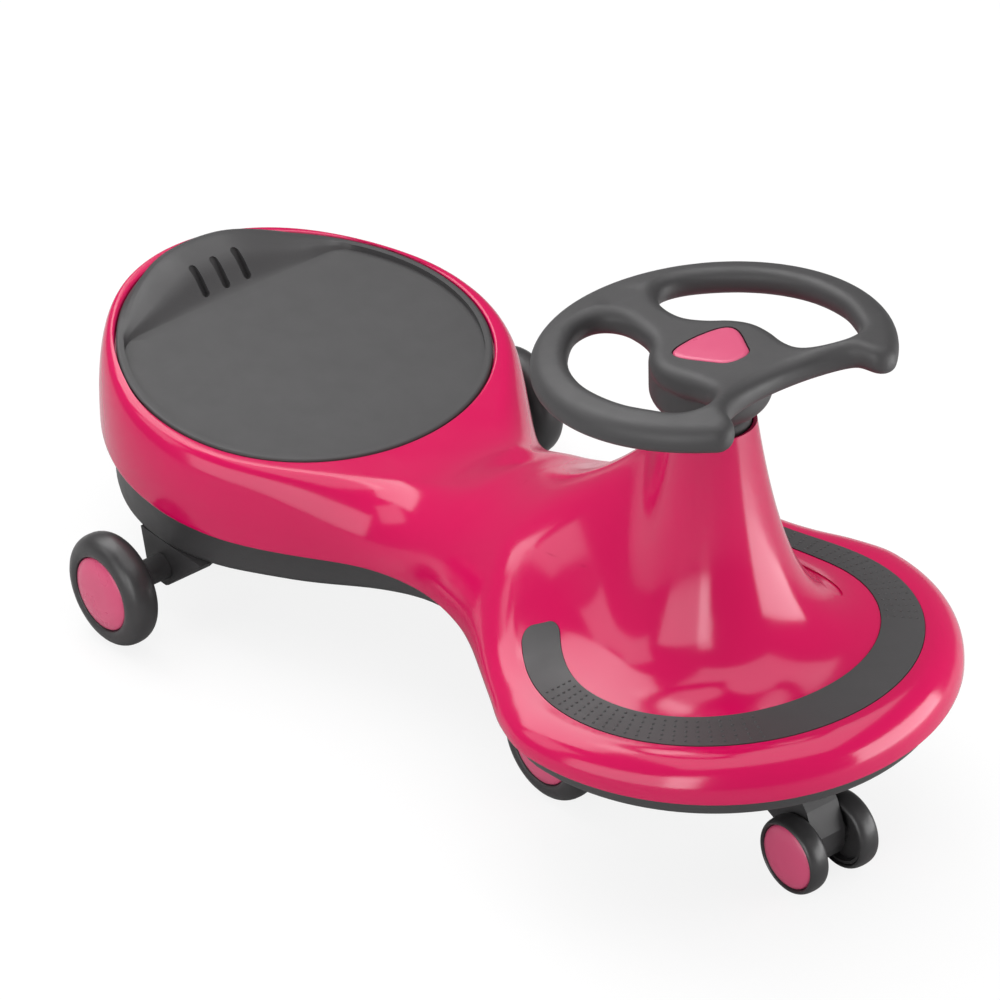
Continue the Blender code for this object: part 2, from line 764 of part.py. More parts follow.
def build_tray():
    half = half_outline(*OUTLINE_STEPS)
    full = np.vstack([half, half[-2:0:-1] * (1, -1)])
    normal = inward(full)
    count = len(full)
    n = len(half)
    bm = bmesh.new()

    def ring(inset, height):
        pts = full + normal * inset
        verts = []
        for x, y in pts:
            verts.append(bm.verts.new((x + COLUMN_X, y, height(x))))
        return verts

    def part_at(lift):
        return lambda x: float(parting(x)) + lift

    def floor_at(lift):
        return lambda x: tray_floor(x) + lift

    t = TRAY_T
    outer = [ring(TRAY_INSET, part_at(TRAY_LIP_H)), ring(TRAY_INSET, part_at(-0.001)),
             ring(TRAY_INSET + 0.0036, floor_at(0.0042)), ring(TRAY_INSET + 0.0080, floor_at(0.0))]
    inner = [ring(TRAY_INSET + t, part_at(TRAY_LIP_H)), ring(TRAY_INSET + t, part_at(-0.001)),
             ring(TRAY_INSET + 0.0036 + t, floor_at(0.0055)), ring(TRAY_INSET + 0.0088 + t, floor_at(t))]
    for rings in (outer, inner):
        for one, two in zip(rings, rings[1:]):
            for i in range(count):
                j = (i + 1) % count
                bm.faces.new((one[i], one[j], two[j], two[i]))
        last = rings[-1]
        bm.faces.new((last[0], last[1], last[count - 1]))
        for i in range(1, n - 2):
            bm.faces.new((last[i], last[i + 1], last[count - i - 1], last[count - i]))
        bm.faces.new((last[n - 2], last[n - 1], last[n]))
    for i in range(count):
        j = (i + 1) % count
        bm.faces.new((outer[0][i], outer[0][j], inner[0][j], inner[0][i]))
    return add_object("under_tray", finish_mesh(bm, "under_tray"), DARK, 0.55)


tray = build_tray()

# rear axle legs: tapered hollow brackets, open towards the middle
LEG_OUT_Y = 0.1470
LEG_IN_Y = 0.1100
LEG_TOP_Z = TRAY_Z_LOBE + 0.0015
LEG_PROFILE = ((-0.0250, LEG_TOP_Z), (-0.0185, 0.0388), (-0.0110, 0.0295), (-0.0050, 0.0280), (0.0040, 0.0280),
               (0.0116, 0.0345), (0.0267, 0.0480), (0.0540, LEG_TOP_Z))
LEG_POCKET = ((-0.0205, TRAY_Z_LOBE - 0.001), (-0.0165, 0.0530), (0.0250, 0.0530), (0.0450, TRAY_Z_LOBE - 0.001))
BOSS_R = 0.0260
BOSS_BOTTOM = 0.1065
BOSS_TOP = 0.1500
bm = bmesh.new()
for side in (1, -1):
    outline = [(REAR_X + COLUMN_X + x, z) for x, z in LEG_PROFILE]
    lo, hi = sorted((side * LEG_IN_Y, side * LEG_OUT_Y))
    prism(bm, outline, lo, hi, axis="Y")
cylinder(bm, BOSS_R, (COLUMN_X, 0, BOSS_BOTTOM), (COLUMN_X, 0, BOSS_TOP), 28)
boolean(tray, cutter("legs and boss", bm), "UNION")

bm = bmesh.new()
for side in (1, -1):
    outline = [(REAR_X + COLUMN_X + x, z) for x, z in LEG_POCKET]
    lo, hi = sorted((side * (LEG_IN_Y - 0.002), side * (LEG_OUT_Y - 0.0040)))
    prism(bm, outline, lo, hi, axis="Y")
cylinder(bm, AXLE_R + GAP, (REAR_X + COLUMN_X, -0.16, WHEEL_R), (REAR_X + COLUMN_X, 0.16, WHEEL_R), 16)
cylinder(bm, 0.0140, (COLUMN_X, 0, 0.08), (COLUMN_X, 0, 0.20), 20)
boolean(tray, cutter("leg pockets and bores", bm))


# Column: bushes, shaft, washer and nuts

def ring_z(name, inner, outer, z0, z1, rgb, rough, metal=0.0, segments=24):
    bm = bmesh.new()
    rings = []
    for radius, z in ((inner, z0), (outer, z0), (outer, z1), (inner, z1)):
        ring = []
        for k in range(segments):
            a = 2 * math.pi * k / segments
            ring.append(bm.verts.new((radius * math.cos(a), radius * math.sin(a), z)))
        rings.append(ring)
    for r in range(4):
        one = rings[r]
        two = rings[(r + 1) % 4]
        for k in range(segments):
            m = (k + 1) % segments
            bm.faces.new((one[k], one[m], two[m], two[k]))
    return add_object(name, finish_mesh(bm, name), rgb, rough, metal, location=(COLUMN_X, 0, 0))


ring_z("upper_column_bush", SHAFT_R + GAP, CONE_BORE_R - GAP, 0.2975, 0.3105, NYLON, 0.5)
ring_z("lower_column_bush", SHAFT_R + GAP, 0.0137, 0.1068, 0.1480, NYLON, 0.5)
ring_z("thrust_washer", SHAFT_R + GAP, 0.0200, 0.1042, 0.1062, STEEL, 0.35, 1.0)

bm = bmesh.new()
cylinder(bm, SHAFT_R, (0, 0, SHAFT_BOTTOM), (0, 0, SHAFT_TOP), 20)
add_object("steering_shaft", finish_mesh(bm, "steering_shaft"), STEEL, 0.3, 1.0, location=(COLUMN_X, 0, 0))


# Front yoke: one ribbed moulding with its open side down

YOKE_TOP = 0.0900
YOKE_HUB_TOP = 0.1039
YOKE_HUB_R = 0.0210
YOKE_SIDE = ((-0.1050, YOKE_TOP), (-0.1050, 0.0480), (-0.1000, 0.0340), (-0.0930, 0.0288), (-0.0840, 0.0288),
             (-0.0770, 0.0340), (-0.0600, 0.0520), (-0.0280, 0.0600), (0.0280, 0.0600), (0.0700, 0.0480),
             (0.0900, 0.0300), (0.1000, 0.0205), (0.1145, 0.0205), (0.1180, 0.0290), (0.1180, 0.0420),
             (0.1100, 0.0620), (0.0950, 0.0800), (0.0760, YOKE_TOP))
YOKE_PLAN = ((-0.1080, 0.0530), (-0.0640, 0.0530), (-0.0200, 0.0330), (0.0450, 0.0240), (0.0820, 0.0137),
             (0.1200, 0.0137))
YOKE_WALL = 0.0035


def plan_half_width(x):
    xs = [p[0] for p in YOKE_PLAN]
    ys = [p[1] for p in YOKE_PLAN]
    return float(np.interp(x, xs, ys))


bm = bmesh.new()
plan = [(x + COLUMN_X, y) for x, y in YOKE_PLAN] + [(x + COLUMN_X, -y) for x, y in reversed(YOKE_PLAN)]
prism(bm, plan, 0.010, 0.120)
yoke = add_object("front_yoke", finish_mesh(bm, "front_yoke"), DARK, 0.55)
bm = bmesh.new()
prism(bm, [(x + COLUMN_X, z) for x, z in YOKE_SIDE], -0.080, 0.080, axis="Y")
boolean(yoke, cutter("yoke side view", bm), "INTERSECT")

bm = bmesh.new()
POCKETS = ((-0.0730, -0.0430), (-0.0395, -0.0245), (0.0245, 0.0430), (0.0465, 0.0640), (0.0675, 0.0900))
for x0, x1 in POCKETS:
    w0 = plan_half_width(x0) - YOKE_WALL
    w1 = plan_half_width(x1) - YOKE_WALL
    mid = 0.0018
    for s in (1, -1):
        outline = [(x0 + COLUMN_X, s * mid), (x1 + COLUMN_X, s * mid), (x1 + COLUMN_X, s * w1),
                   (x0 + COLUMN_X, s * w0)]
        top = YOKE_TOP - 0.0040 if x1 < 0.08 else 0.0740
        prism(bm, outline, 0.0, top)
boolean(yoke, cutter("yoke pockets", bm))

bm = bmesh.new()
cylinder(bm, YOKE_HUB_R, (COLUMN_X, 0, 0.0560), (COLUMN_X, 0, YOKE_HUB_TOP), 28)
boolean(yoke, cutter("yoke hub", bm), "UNION")
bm = bmesh.new()
cylinder(bm, 0.0125, (YOKE_WHEEL_X + COLUMN_X, -0.0560, WHEEL_R), (YOKE_WHEEL_X + COLUMN_X, 0.0560, WHEEL_R), 20)
cylinder(bm, 0.0098, (NOSE_X + COLUMN_X, -0.0139, NOSE_Z), (NOSE_X + COLUMN_X, 0.0139, NOSE_Z), 20)
boolean(yoke, cutter("yoke barrels", bm), "UNION")
bm = bmesh.new()
cylinder(bm, SHAFT_R + GAP, (COLUMN_X, 0, 0.02), (COLUMN_X, 0, 0.13), 20)
cylinder(bm, AXLE_R + GAP, (YOKE_WHEEL_X + COLUMN_X, -0.07, WHEEL_R), (YOKE_WHEEL_X + COLUMN_X, 0.07, WHEEL_R), 16)
cylinder(bm, NOSE_AXLE_R + GAP, (NOSE_X + COLUMN_X, -0.02, NOSE_Z), (NOSE_X + COLUMN_X, 0.02, NOSE_Z), 14)
boolean(yoke, cutter("yoke bores", bm))


def nut(name, radius, bore, z0, z1):
    return ring_z(name, bore / math.cos(math.pi / 6), radius, z0, z1, STEEL, 0.35, 1.0, segments=6)


nut("yoke_nut", 0.0165, SHAFT_R + GAP, 0.0480, 0.0556)


# Axles

def axle(name, radius, half, centre, segments=16):
    bm = bmesh.new()
    cylinder(bm, radius, (0, -half, 0), (0, half, 0), segments)
    return add_object(name, finish_mesh(bm, name), STEEL, 0.3, 1.0, location=centre)


axle("rear_axle", AXLE_R, REAR_FACE_Y - 0.0022, (REAR_X + COLUMN_X, 0, WHEEL_R))
axle("yoke_axle", AXLE_R, YOKE_FACE_Y - 0.0022, (YOKE_WHEEL_X + COLUMN_X, 0, WHEEL_R))
axle("nose_axle", NOSE_AXLE_R, NOSE_FACE_Y - 0.0016, (NOSE_X + COLUMN_X, 0, NOSE_Z), 14)


# Road wheels: tyre, core, snap-in cap, axle nut and inner spacer

def tyre_profile(radius, half, bore):
    """Closed ring profile (radius, outward y), rounded tread."""
    pts = [(bore, -half * 0.90)]
    steps = 6
    for k in range(1, steps):
        a = -math.pi / 2 + math.pi * k / steps
        c = math.cos(a)**0.85
        s = math.copysign(abs(math.sin(a))**0.85, math.sin(a))
        pts.append((bore + (radius - bore) * c, half * s))
    pts.append((bore, half * 0.90))
    return pts


def wheel(name, centre_x, face_y, z, radius, half, cap_r, axle_r, side, spacer_to, segments):
    mid = face_y - half
    centre = (centre_x + COLUMN_X, side * mid, z)
    bore = cap_r + 0.0004
    turned(name + "_tyre", tyre_profile(radius, half, bore), centre, side, DARK, 0.45, segments=segments)
    core_r = bore - GAP
    inner_r = axle_r + GAP
    deep = half * 0.80
    core = [(inner_r, -deep), (inner_r + 0.0035, -deep), (inner_r + 0.0040, -deep * 0.35),
            (core_r - 0.0030, -deep * 0.35), (core_r - 0.0022, -deep), (core_r, -deep),
            (core_r, half * 0.30), (inner_r, half * 0.30)]
    turned(name + "_core", core, centre, side, GREY, 0.5, segments=segments)
    # the cap is a shallow cup, closed and slightly domed outside
    lip = half * 0.30 + GAP
    rim = cap_r - 0.0004
    dome = 0.0022 * cap_r / 0.0282
    cup = [(rim - 0.0018, half - 0.0016), (rim - 0.0018, lip), (rim, lip), (rim, half - 0.0004),
           (rim * 0.955, half + dome * 0.30), (rim * 0.60, half + dome)]
    disc(name + "_cap", cup, centre, side, PINK, 0.2, segments=segments)
    # lock nut on the axle's end, inside the cap
    z0 = half * 0.30 + GAP
    z1 = z0 + min(0.0036, half - 0.0021 - z0)
    nut_in = (axle_r + GAP) / math.cos(math.pi / 6)
    nut_out = nut_in + 0.0040
    turned(name + "_nut", [(nut_in, z0), (nut_out, z0), (nut_out, z1), (nut_in, z1)],
           centre, side, STEEL, 0.35, 1.0, segments=6)
    if spacer_to is not None:
        s0 = spacer_to + GAP - mid
        s1 = -deep - GAP
        turned(name + "_spacer", [(axle_r + GAP, s0), (axle_r + 0.0036, s0), (axle_r + 0.0036, s1),
                                  (axle_r + GAP, s1)], centre, side, NYLON, 0.5, segments=12)


for label, side in (("left", 1), ("right", -1)):
    wheel("rear_wheel_" + label, REAR_X, REAR_FACE_Y, WHEEL_R, WHEEL_R, WHEEL_HALF_W, CAP_R, AXLE_R, side,
          LEG_OUT_Y, 22)
    wheel("yoke_wheel_" + label, YOKE_WHEEL_X, YOKE_FACE_Y, WHEEL_R, WHEEL_R, WHEEL_HALF_W, CAP_R, AXLE_R, side,
          0.0560, 22)
    wheel("nose_wheel_" + label, NOSE_X, NOSE_FACE_Y, NOSE_Z, NOSE_R, NOSE_HALF_W, NOSE_CAP_R, NOSE_AXLE_R, side,
          None, 18)


# Steering wheel: a flat plan with two finger openings, rounded all round,
# open at the front, joined to a deep hub and a neck that enters the cone

# from the middle of the open front out to the arm's tip
FRONT_EDGE = ((0.0520, 0.0), (0.0535, 0.0130), (0.0575, 0.0265), (0.0640, 0.0400), (0.0720, 0.0520),
              (0.0802, 0.0597))
OPENING = ((-0.0925, 0.0360), (-0.0890, 0.0245), (-0.0780, 0.0165), (-0.0640, 0.0145), (-0.0490, 0.0175),
           (-0.0360, 0.0255), (-0.0230, 0.0370), (-0.0080, 0.0435), (0.0090, 0.0435), (0.0240, 0.0390),
           (0.0380, 0.0395), (0.0490, 0.0475), (0.0562, 0.0590), (0.0565, 0.0700), (0.0500, 0.0800),
           (0.0380, 0.0885), (0.0210, 0.0950), (0.0, 0.0975), (-0.0210, 0.0955), (-0.0420, 0.0880),
           (-0.0610, 0.0765), (-0.0770, 0.0615), (-0.0885, 0.0480))
TIP_R = 0.0112
TIP_DEG = 42.5
PLATE_RINGS = (0, 25, 50, 75, 90)


def plate_room(points, normals, others):
    """How far the rounding may reach in from each point, on the way to the facing edge."""
    room = []
    for p, n in zip(points, normals):
        to = others - p
        reach = np.linalg.norm(to, axis=1)
        ahead = (to @ n > 0.6 * reach) & (reach > 1e-6)
        room.append(0.46 * reach[ahead].min())
    room = np.minimum(np.array(room), STEER_EDGE)
    for _ in range(3):
        room = np.minimum(room, (np.roll(room, 1) + 2 * room + np.roll(room, -1)) / 4)
    return room


def rounded_plate(loops):
    """A flat plan with holes, fully rounded along every edge, about z = 0."""
    bm = bmesh.new()
    everything = np.vstack([np.array(loop) for loop in loops])
    caps = {1: [], -1: []}
    for number, loop in enumerate(loops):
        points = np.array(loop)
        normals = inward(points) * (1 if number == 0 else -1)
        room = plate_room(points, normals, everything)
        rings = []
        for up, degs in ((-1, PLATE_RINGS[::-1]), (1, PLATE_RINGS)):
            for deg in degs:
                t = math.radians(deg)
                at = points + normals * (room * (1 - math.cos(t)))[:, None]
                z = up * (STEER_FLAT / 2 + STEER_EDGE * math.sin(t))
                rings.append([bm.verts.new((x, y, z)) for x, y in at])
        count = len(points)
        for one, two in zip(rings, rings[1:]):
            for i in range(count):
                j = (i + 1) % count
                bm.faces.new((one[i], one[j], two[j], two[i]))
        caps[-1].append(rings[0])
        caps[1].append(rings[-1])
    for ends in caps.values():
        edges = []
        for ring in ends:
            for i, v in enumerate(ring):
                edges.append(bm.edges.get((v, ring[(i + 1) % len(ring)])))
        bmesh.ops.triangle_fill(bm, use_beauty=True, edges=edges)
    return bm


def smooth_loop(points, rounds=1):
    """Corner cutting: each round doubles the points of a closed loop."""
    pts = [Vector(p) for p in points]
    for _ in range(rounds):
        new = []
        for i, p in enumerate(pts):
            q = pts[(i + 1) % len(pts)]
            new.append(p.lerp(q, 0.25))
            new.append(p.lerp(q, 0.75))
        pts = new
    return [(p.x, p.y) for p in pts]


def steering_plan(rim_points, tip_points):
    """The wheel's outline: front edge, left tip, rim round the back, right tip."""
    turn = math.radians(TIP_DEG)
    tip = ((STEER_R - TIP_R) * math.cos(turn), (STEER_R - TIP_R) * math.sin(turn))
    last = FRONT_EDGE[-1]
    reach = math.hypot(tip[0] - last[0], tip[1] - last[1])
    leave = math.atan2(tip[1] - last[1], tip[0] - last[0]) - math.asin(TIP_R / reach) - math.pi / 2
    left = list(FRONT_EDGE)
    for a in np.linspace(leave, turn, tip_points):
        left.append((tip[0] + TIP_R * math.cos(a), tip[1] + TIP_R * math.sin(a)))
    loop = list(left)
    for a in np.linspace(turn, 2 * math.pi - turn, rim_points)[1:-1]:
        loop.append((STEER_R * math.cos(a), STEER_R * math.sin(a)))
    loop += [(x, -y) for x, y in reversed(left[1:])]
    return loop


holes = [list(OPENING), [(x, -y) for x, y in reversed(OPENING)]]
tilt = Matrix.Translation((0, 0, STEER_Z)) @ Matrix.Rotation(math.radians(-STEER_TILT), 4, "Y")
bm = rounded_plate([steering_plan(34, 6)] + holes)
bmesh.ops.transform(bm, matrix=tilt, verts=bm.verts)
steer = add_object("steering_wheel", finish_mesh(bm, "steering_wheel"), GREY, 0.55, location=(COLUMN_X, 0, 0))

bm = bmesh.new()
profile = ((NECK_R, NECK_BOTTOM), (NECK_R, HUB_BOTTOM - 0.002), (HUB_R - 0.009, HUB_BOTTOM), (HUB_R - 0.003, HUB_BOTTOM + 0.003),
           (HUB_R, HUB_BOTTOM + 0.009), (HUB_R, STEER_Z + 0.0040))
rings = []
for radius, z in profile:
    ring = []
    for k in range(26):
        a = 2 * math.pi * k / 26
        ring.append(bm.verts.new((COLUMN_X + radius * math.cos(a), radius * math.sin(a), z)))
    rings.append(ring)
for one, two in zip(rings, rings[1:]):
    for k in range(26):
        m = (k + 1) % 26
        bm.faces.new((one[k], one[m], two[m], two[k]))
bm.faces.new(rings[0])
bm.faces.new(rings[-1])
boolean(steer, cutter("hub", bm), "UNION")

# nut pocket, shaft bore and the recess of the centre cap
CAP_LOOP = ((0.0360, -0.0085), (0.0375, 0.0), (0.0360, 0.0085), (0.0290, 0.0150), (0.0130, 0.0235), (0.0000, 0.0290),
            (-0.0085, 0.0295), (-0.0140, 0.0240), (-0.0165, 0.0120), (-0.0170, 0.0), (-0.0165, -0.0120),
            (-0.0140, -0.0240), (-0.0085, -0.0295), (0.0, -0.0290), (0.0130, -0.0235), (0.0290, -0.0150))


def grown(loop, grow):
    pts = np.array(loop)
    return [tuple(p) for p in pts - inward(pts) * grow]


cap_loop = smooth_loop(CAP_LOOP, 1)
bm = bmesh.new()
cylinder(bm, SHAFT_R + GAP, (0, 0, 0.30), (0, 0, SHAFT_TOP + 0.0005), 20)
cylinder(bm, 0.0155, (0, 0, SHAFT_TOP - 0.0085), (0, 0, STEER_Z + 0.0060), 20)
bmesh.ops.transform(bm, matrix=Matrix.Translation((COLUMN_X, 0, 0)), verts=bm.verts)
boolean(steer, cutter("shaft bore", bm))
bm = bmesh.new()
prism(bm, grown(cap_loop, 0.0004), 0.0045, 0.0250)
bmesh.ops.transform(bm, matrix=Matrix.Translation((COLUMN_X, 0, 0)) @ tilt, verts=bm.verts)
boolean(steer, cutter("cap recess", bm))
nut("steering_nut", 0.0145, SHAFT_R + GAP, SHAFT_TOP - 0.0080, SHAFT_TOP - 0.0008)

bm = bmesh.new()
prism(bm, cap_loop, 0.0048, 0.0135)
top_faces = [f for f in bm.faces if all(v.co.z > 0.013 for v in f.verts)]
bmesh.ops.inset_region(bm, faces=top_faces, thickness=0.0030, depth=0.0014)
bmesh.ops.transform(bm, matrix=tilt, verts=bm.verts)
add_object("wheel_centre_cap", finish_mesh(bm, "wheel_centre_cap"), PINK, 0.2, location=(COLUMN_X, 0, 0))
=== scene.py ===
import math

import bmesh
import bpy
import numpy as np
from mathutils import Matrix, Vector
from mathutils.geometry import delaunay_2d_cdt


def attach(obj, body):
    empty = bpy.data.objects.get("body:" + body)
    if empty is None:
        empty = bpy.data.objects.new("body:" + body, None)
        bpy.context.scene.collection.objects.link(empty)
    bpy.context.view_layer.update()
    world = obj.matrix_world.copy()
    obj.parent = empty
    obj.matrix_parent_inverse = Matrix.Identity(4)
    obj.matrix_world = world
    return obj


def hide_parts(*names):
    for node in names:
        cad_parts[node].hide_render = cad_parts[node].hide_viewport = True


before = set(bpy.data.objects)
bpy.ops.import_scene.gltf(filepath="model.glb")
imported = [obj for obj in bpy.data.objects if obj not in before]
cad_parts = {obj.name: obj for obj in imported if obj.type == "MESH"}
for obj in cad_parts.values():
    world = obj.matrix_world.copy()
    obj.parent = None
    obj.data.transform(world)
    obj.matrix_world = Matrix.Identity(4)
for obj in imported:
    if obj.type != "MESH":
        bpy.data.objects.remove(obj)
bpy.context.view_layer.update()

bl_info = {
    "name": "Swing car",
    "version": (1, 0, 0),
    "blender": (4, 5, 0),
    "location": "View3D > Sidebar > Swing car",
    "description": "Builds the finished mouldings, tyres and finishes of a ride-on swing car",
    "category": "Add Mesh",
}

# Sizes are in metres. Lengths along X count from the steering column,
# and COLUMN_X moves them into the frame of the car.
COLUMN_X = 0.2226
MM = 0.001
# distance between the turning lines on steel, as drawn
LINE_PITCH = 1.1844 * MM

# The shell's parting outline from above: an egg-shaped lobe that tucks in
# at the back and its corners, a waist, and a round deck
LOBE_X = -0.4500
LOBE_HALF_LENGTH = 0.1645
LOBE_HALF_WIDTH = 0.1535
LOBE_EGG = 0.055
LOBE_TUCK = 0.0066
LOBE_CORNER_X = 0.0022
LOBE_CORNER_Y = 0.0042
WAIST_X = -0.240
# where along the car, and half the width there
WAIST_STATIONS = ((-0.4410, 0.1537), (-0.4238, 0.1530), (-0.4056, 0.1498), (-0.3892, 0.1449),
                  (-0.3737, 0.1384), (-0.3542, 0.1273), (-0.3348, 0.1152), (-0.3160, 0.1034),
                  (-0.2965, 0.0925), (-0.2800, 0.0858), (-0.2620, 0.0821), (-0.2426, 0.0810),
                  (-0.2170, 0.0831), (-0.1872, 0.0898), (-0.1494, 0.1026), (-0.1222, 0.1150),
                  (-0.0952, 0.1292), (-0.0624, 0.1465), (-0.0354, 0.1605), (0.0, 0.1693))
DECK_R = 0.1693

# The shell's parting line, wall and deck. A blend is a stretch of X over
# which one height or width turns into the next.
LOBE_PARTING_Z = 0.1035
DECK_PARTING_Z = 0.1242
PARTING_BLEND = (-0.37, -0.10)
SHELL_T = 0.0040
SKIRT_H = 0.0040
SKIRT_ROUND = ((0.0, 0.0010), (0.0002, 0.0004), (0.0007, 0.0), (SHELL_T - 0.0006, 0.0), (SHELL_T, 0.0006))
DECK_Z = 0.1458
DECK_SLOPE = 0.066
TOP_BLEND = (-0.325, -0.12)

# The shell's rounded outer edge: its width at the rear, beside the seat, at
# the waist and round the deck, and the power of its curve
EDGE_REAR = 0.0076
EDGE_SEAT = 0.0155
EDGE_WAIST = 0.0485
EDGE_DECK = 0.0245
EDGE_SEAT_BLEND = (-0.605, -0.49)
EDGE_WAIST_BLEND = (-0.378, -0.232)
EDGE_DECK_BLEND = (-0.20, -0.06)
EDGE_SHARES = (0, .008, .025, .05, .085, .13, .18, .24, .31, .39, .48, .58, .69, .8, .9, 1.0)
INNER_EDGE_SHARES = (0, .3, 1.0)
INNER_EDGE_LESS = 0.0062
INNER_EDGE_LEAST = 0.0019
INNER_DROP_MOST = 0.030
LOBE_ROUND_POWER = 2.4
DECK_ROUND_POWER = 2.0
ROUND_BLEND = (-0.42, -0.25)

# The horn that carries the steering column, and the ridge behind it
CONE_TOP_R = 0.0290
CONE_TOP_Z = 0.3190
CONE_HEIGHT = 0.1735
CONE_FLARE = 0.0234
CONE_BORE_R = 0.0260
CONE_BORE_Z = 0.2960
MOUTH_ROUND = ((CONE_TOP_R - 0.0003, CONE_TOP_Z + 0.0005), (CONE_TOP_R - 0.0012, CONE_TOP_Z + 0.0008),
               (CONE_BORE_R + 0.0004, CONE_TOP_Z + 0.0007), (CONE_BORE_R, CONE_TOP_Z + 0.0003),
               (CONE_BORE_R, CONE_BORE_Z))
HORN_BLEND = (-0.322, -0.205)
HORN_SPOKES = 120
HORN_LEVELS = np.linspace(1, 0.30, 36)[1:]
RIDGE_STRETCH = 0.18
RIDGE_START = 0.058
RIDGE_SPREAD = 0.50
RIDGE_RUN = 0.14
GRID_STEP = 0.0036
GRID_X = (-0.62, 0.18)
GRID_Y = (-0.18, 0.18)

# The seat's rim in the shell, seen from above, and its pan
SEAT_X = -0.4563
SEAT_HALF_LENGTH = 0.1383
SEAT_HALF_WIDTH = 0.1359
SEAT_EGG = 0.0685
SEAT_CORNER_X = 0.0006
SEAT_CORNER_Y = 0.0012
SEAT_RIM_Z = 0.1638
SEAT_SLOPE = -0.1029
SEAT_PAN_DEPTH = 0.0075
RIM_SPOKES = 200
# how far out from the rim's outline, and how far below the surface there
RIM_ROUND = ((0.0, 0.0014), (0.0002, 0.00085), (0.0005, 0.0005), (0.0009, 0.00022), (0.0014, 0.00006),
             (0.0020, 0.0), (0.0030, 0.0), (0.0045, 0.0))
INNER_RIM_ROUND = ((0.0035, 0.0), (0.0045, 0.0))

# The seat plate: floor, rear lip and three slots
SEAT_SPOKES = 180
SEAT_GAP = 0.0012
SEAT_BORDER = 0.0055
SEAT_FLOOR_DROP = 0.0035
SEAT_PROUD = 0.0004
SEAT_EDGE_R = 0.0016
SEAT_EDGE_DROP = 0.0012
SEAT_UNDER_GAP = 0.0003
SEAT_FOOT_X = -0.533
UPRIGHT_RUN = 0.020
LIP_CREST_H = 0.0153
LIP_HALF_SPAN = 0.112
LIP_LEVEL_SHARE = 0.2
# share of the way up the ramp, height of the wall there, height of the crest there
LIP_SHAPE = ((0.0, 0.0, 0.0), (0.08, 0.2, 0.03), (0.19, 0.5, 0.30), (0.30, 0.8, 0.62), (0.41, 1.0, 0.82),
             (0.53, 1.0, 0.93), (0.66, 1.0, 0.99), (0.78, 1.0, 1.0), (0.90, 1.0, 0.90), (1.0, 1.0, 0.66))
# distance in from the plate's edge, height of the crest there
LIP_BACK = ((0.0046, 0.53), (0.0036, 0.40), (0.0026, 0.27), (0.0016, 0.14), (0.0008, 0.05), (0.0, 0.0))
SLOT_FRONT_X = -0.5400
SLOT_REAR_X = -0.5518
SLOT_LEAN_DEG = 53.0
SLOT_HALF_WIDTH = 0.0032
SLOT_PITCH = 0.0190
SLOT_LOW = -0.0070
SLOT_HIGH = 0.012
SLOT_LIFT = 0.0085

# The grip pad and its recess. The clearance round it is worked out from
# a rounded mean radius and width.
PAD_X_OUT = 0.0087
PAD_RX_OUT = 0.1336
PAD_RY_OUT = 0.1386
PAD_X_IN = 0.0059
PAD_RX_IN = 0.1036
PAD_RY_IN = 0.1127
PAD_MEAN_R = 0.124
PAD_WIDTH = 0.0278
PAD_NEAR_R = 0.12
PAD_NEAR_WIDTH = 0.03
PAD_END_DEG = 131.0
PAD_CORNER = 0.090
PAD_END_SHARE = 0.20
PAD_GAP = 0.0005
PAD_SINK = 0.0020
PAD_UNDER_GAP = 0.0003
PAD_PROUD = 0.0006
PAD_BEVEL = 0.0005
# the two fields of dots, as turns from the front in degrees
DOT_FIELDS = ((-103.0, -28.0), (54.0, 122.0))
DOT_ROWS = range(-2, 3)
DOT_SIDES = 10
DOT_FOOT = -0.0002
# share of the dot's radius, share of its height
DOT_SHAPE = ((0.9, 0.35), (0.6, 0.8), (0.25, 1.0))

# The bare recess on the horn's foot
BADGE_X = 0.0125
BADGE_Y = 0.0790
BADGE_HALF_LENGTH = 0.0265
BADGE_HALF_WIDTH = 0.0105
BADGE_SINK = 0.0010
BADGE_SIDES = 48
TOOL_H = 0.008
PAD_TOOL_H = 0.006

# The under-tray: stepped edge, floor, legs for the rear axle and a boss for the column
TRAY_INSET = 0.0045
TRAY_T = 0.0030
TRAY_STEP = 0.0035
TRAY_LIP_H = 0.0038
TRAY_Z_LOBE = 0.0630
TRAY_Z_DECK = 0.1085
TRAY_BLEND = (-0.340, -0.125)
LEG_OUT_Y = 0.1430
LEG_IN_Y = 0.1060
LEG_TOP_Z = TRAY_Z_LOBE + 0.0015
# side view of a leg and of the pocket in it: distance from the rear axle, height
LEG_PROFILE = ((-0.0250, LEG_TOP_Z), (-0.0200, 0.0388), (-0.0175, 0.0335), (-0.0140, 0.0296),
               (-0.0100, 0.0272), (-0.0060, 0.0265), (0.0020, 0.0265), (0.0055, 0.0285),
               (0.0096, 0.0330), (0.0247, 0.0460), (0.0460, LEG_TOP_Z))
POCKET_TOP_Z = TRAY_Z_LOBE - 0.001
POCKET_PROFILE = ((-0.0205, POCKET_TOP_Z), (-0.0165, 0.0530), (0.0250, 0.0530), (0.0380, POCKET_TOP_Z))
# the pocket is open on the inner side, and its cut runs past it
POCKET_PAST = 0.002
POCKET_WALL = 0.0040
BOSS_R = 0.0260
BOSS_Z = (0.1090, 0.1500)
BOSS_BORE_R = 0.0140
BOSS_BORE_Z = (0.08, 0.20)
AXLE_BORE_Y = 0.16

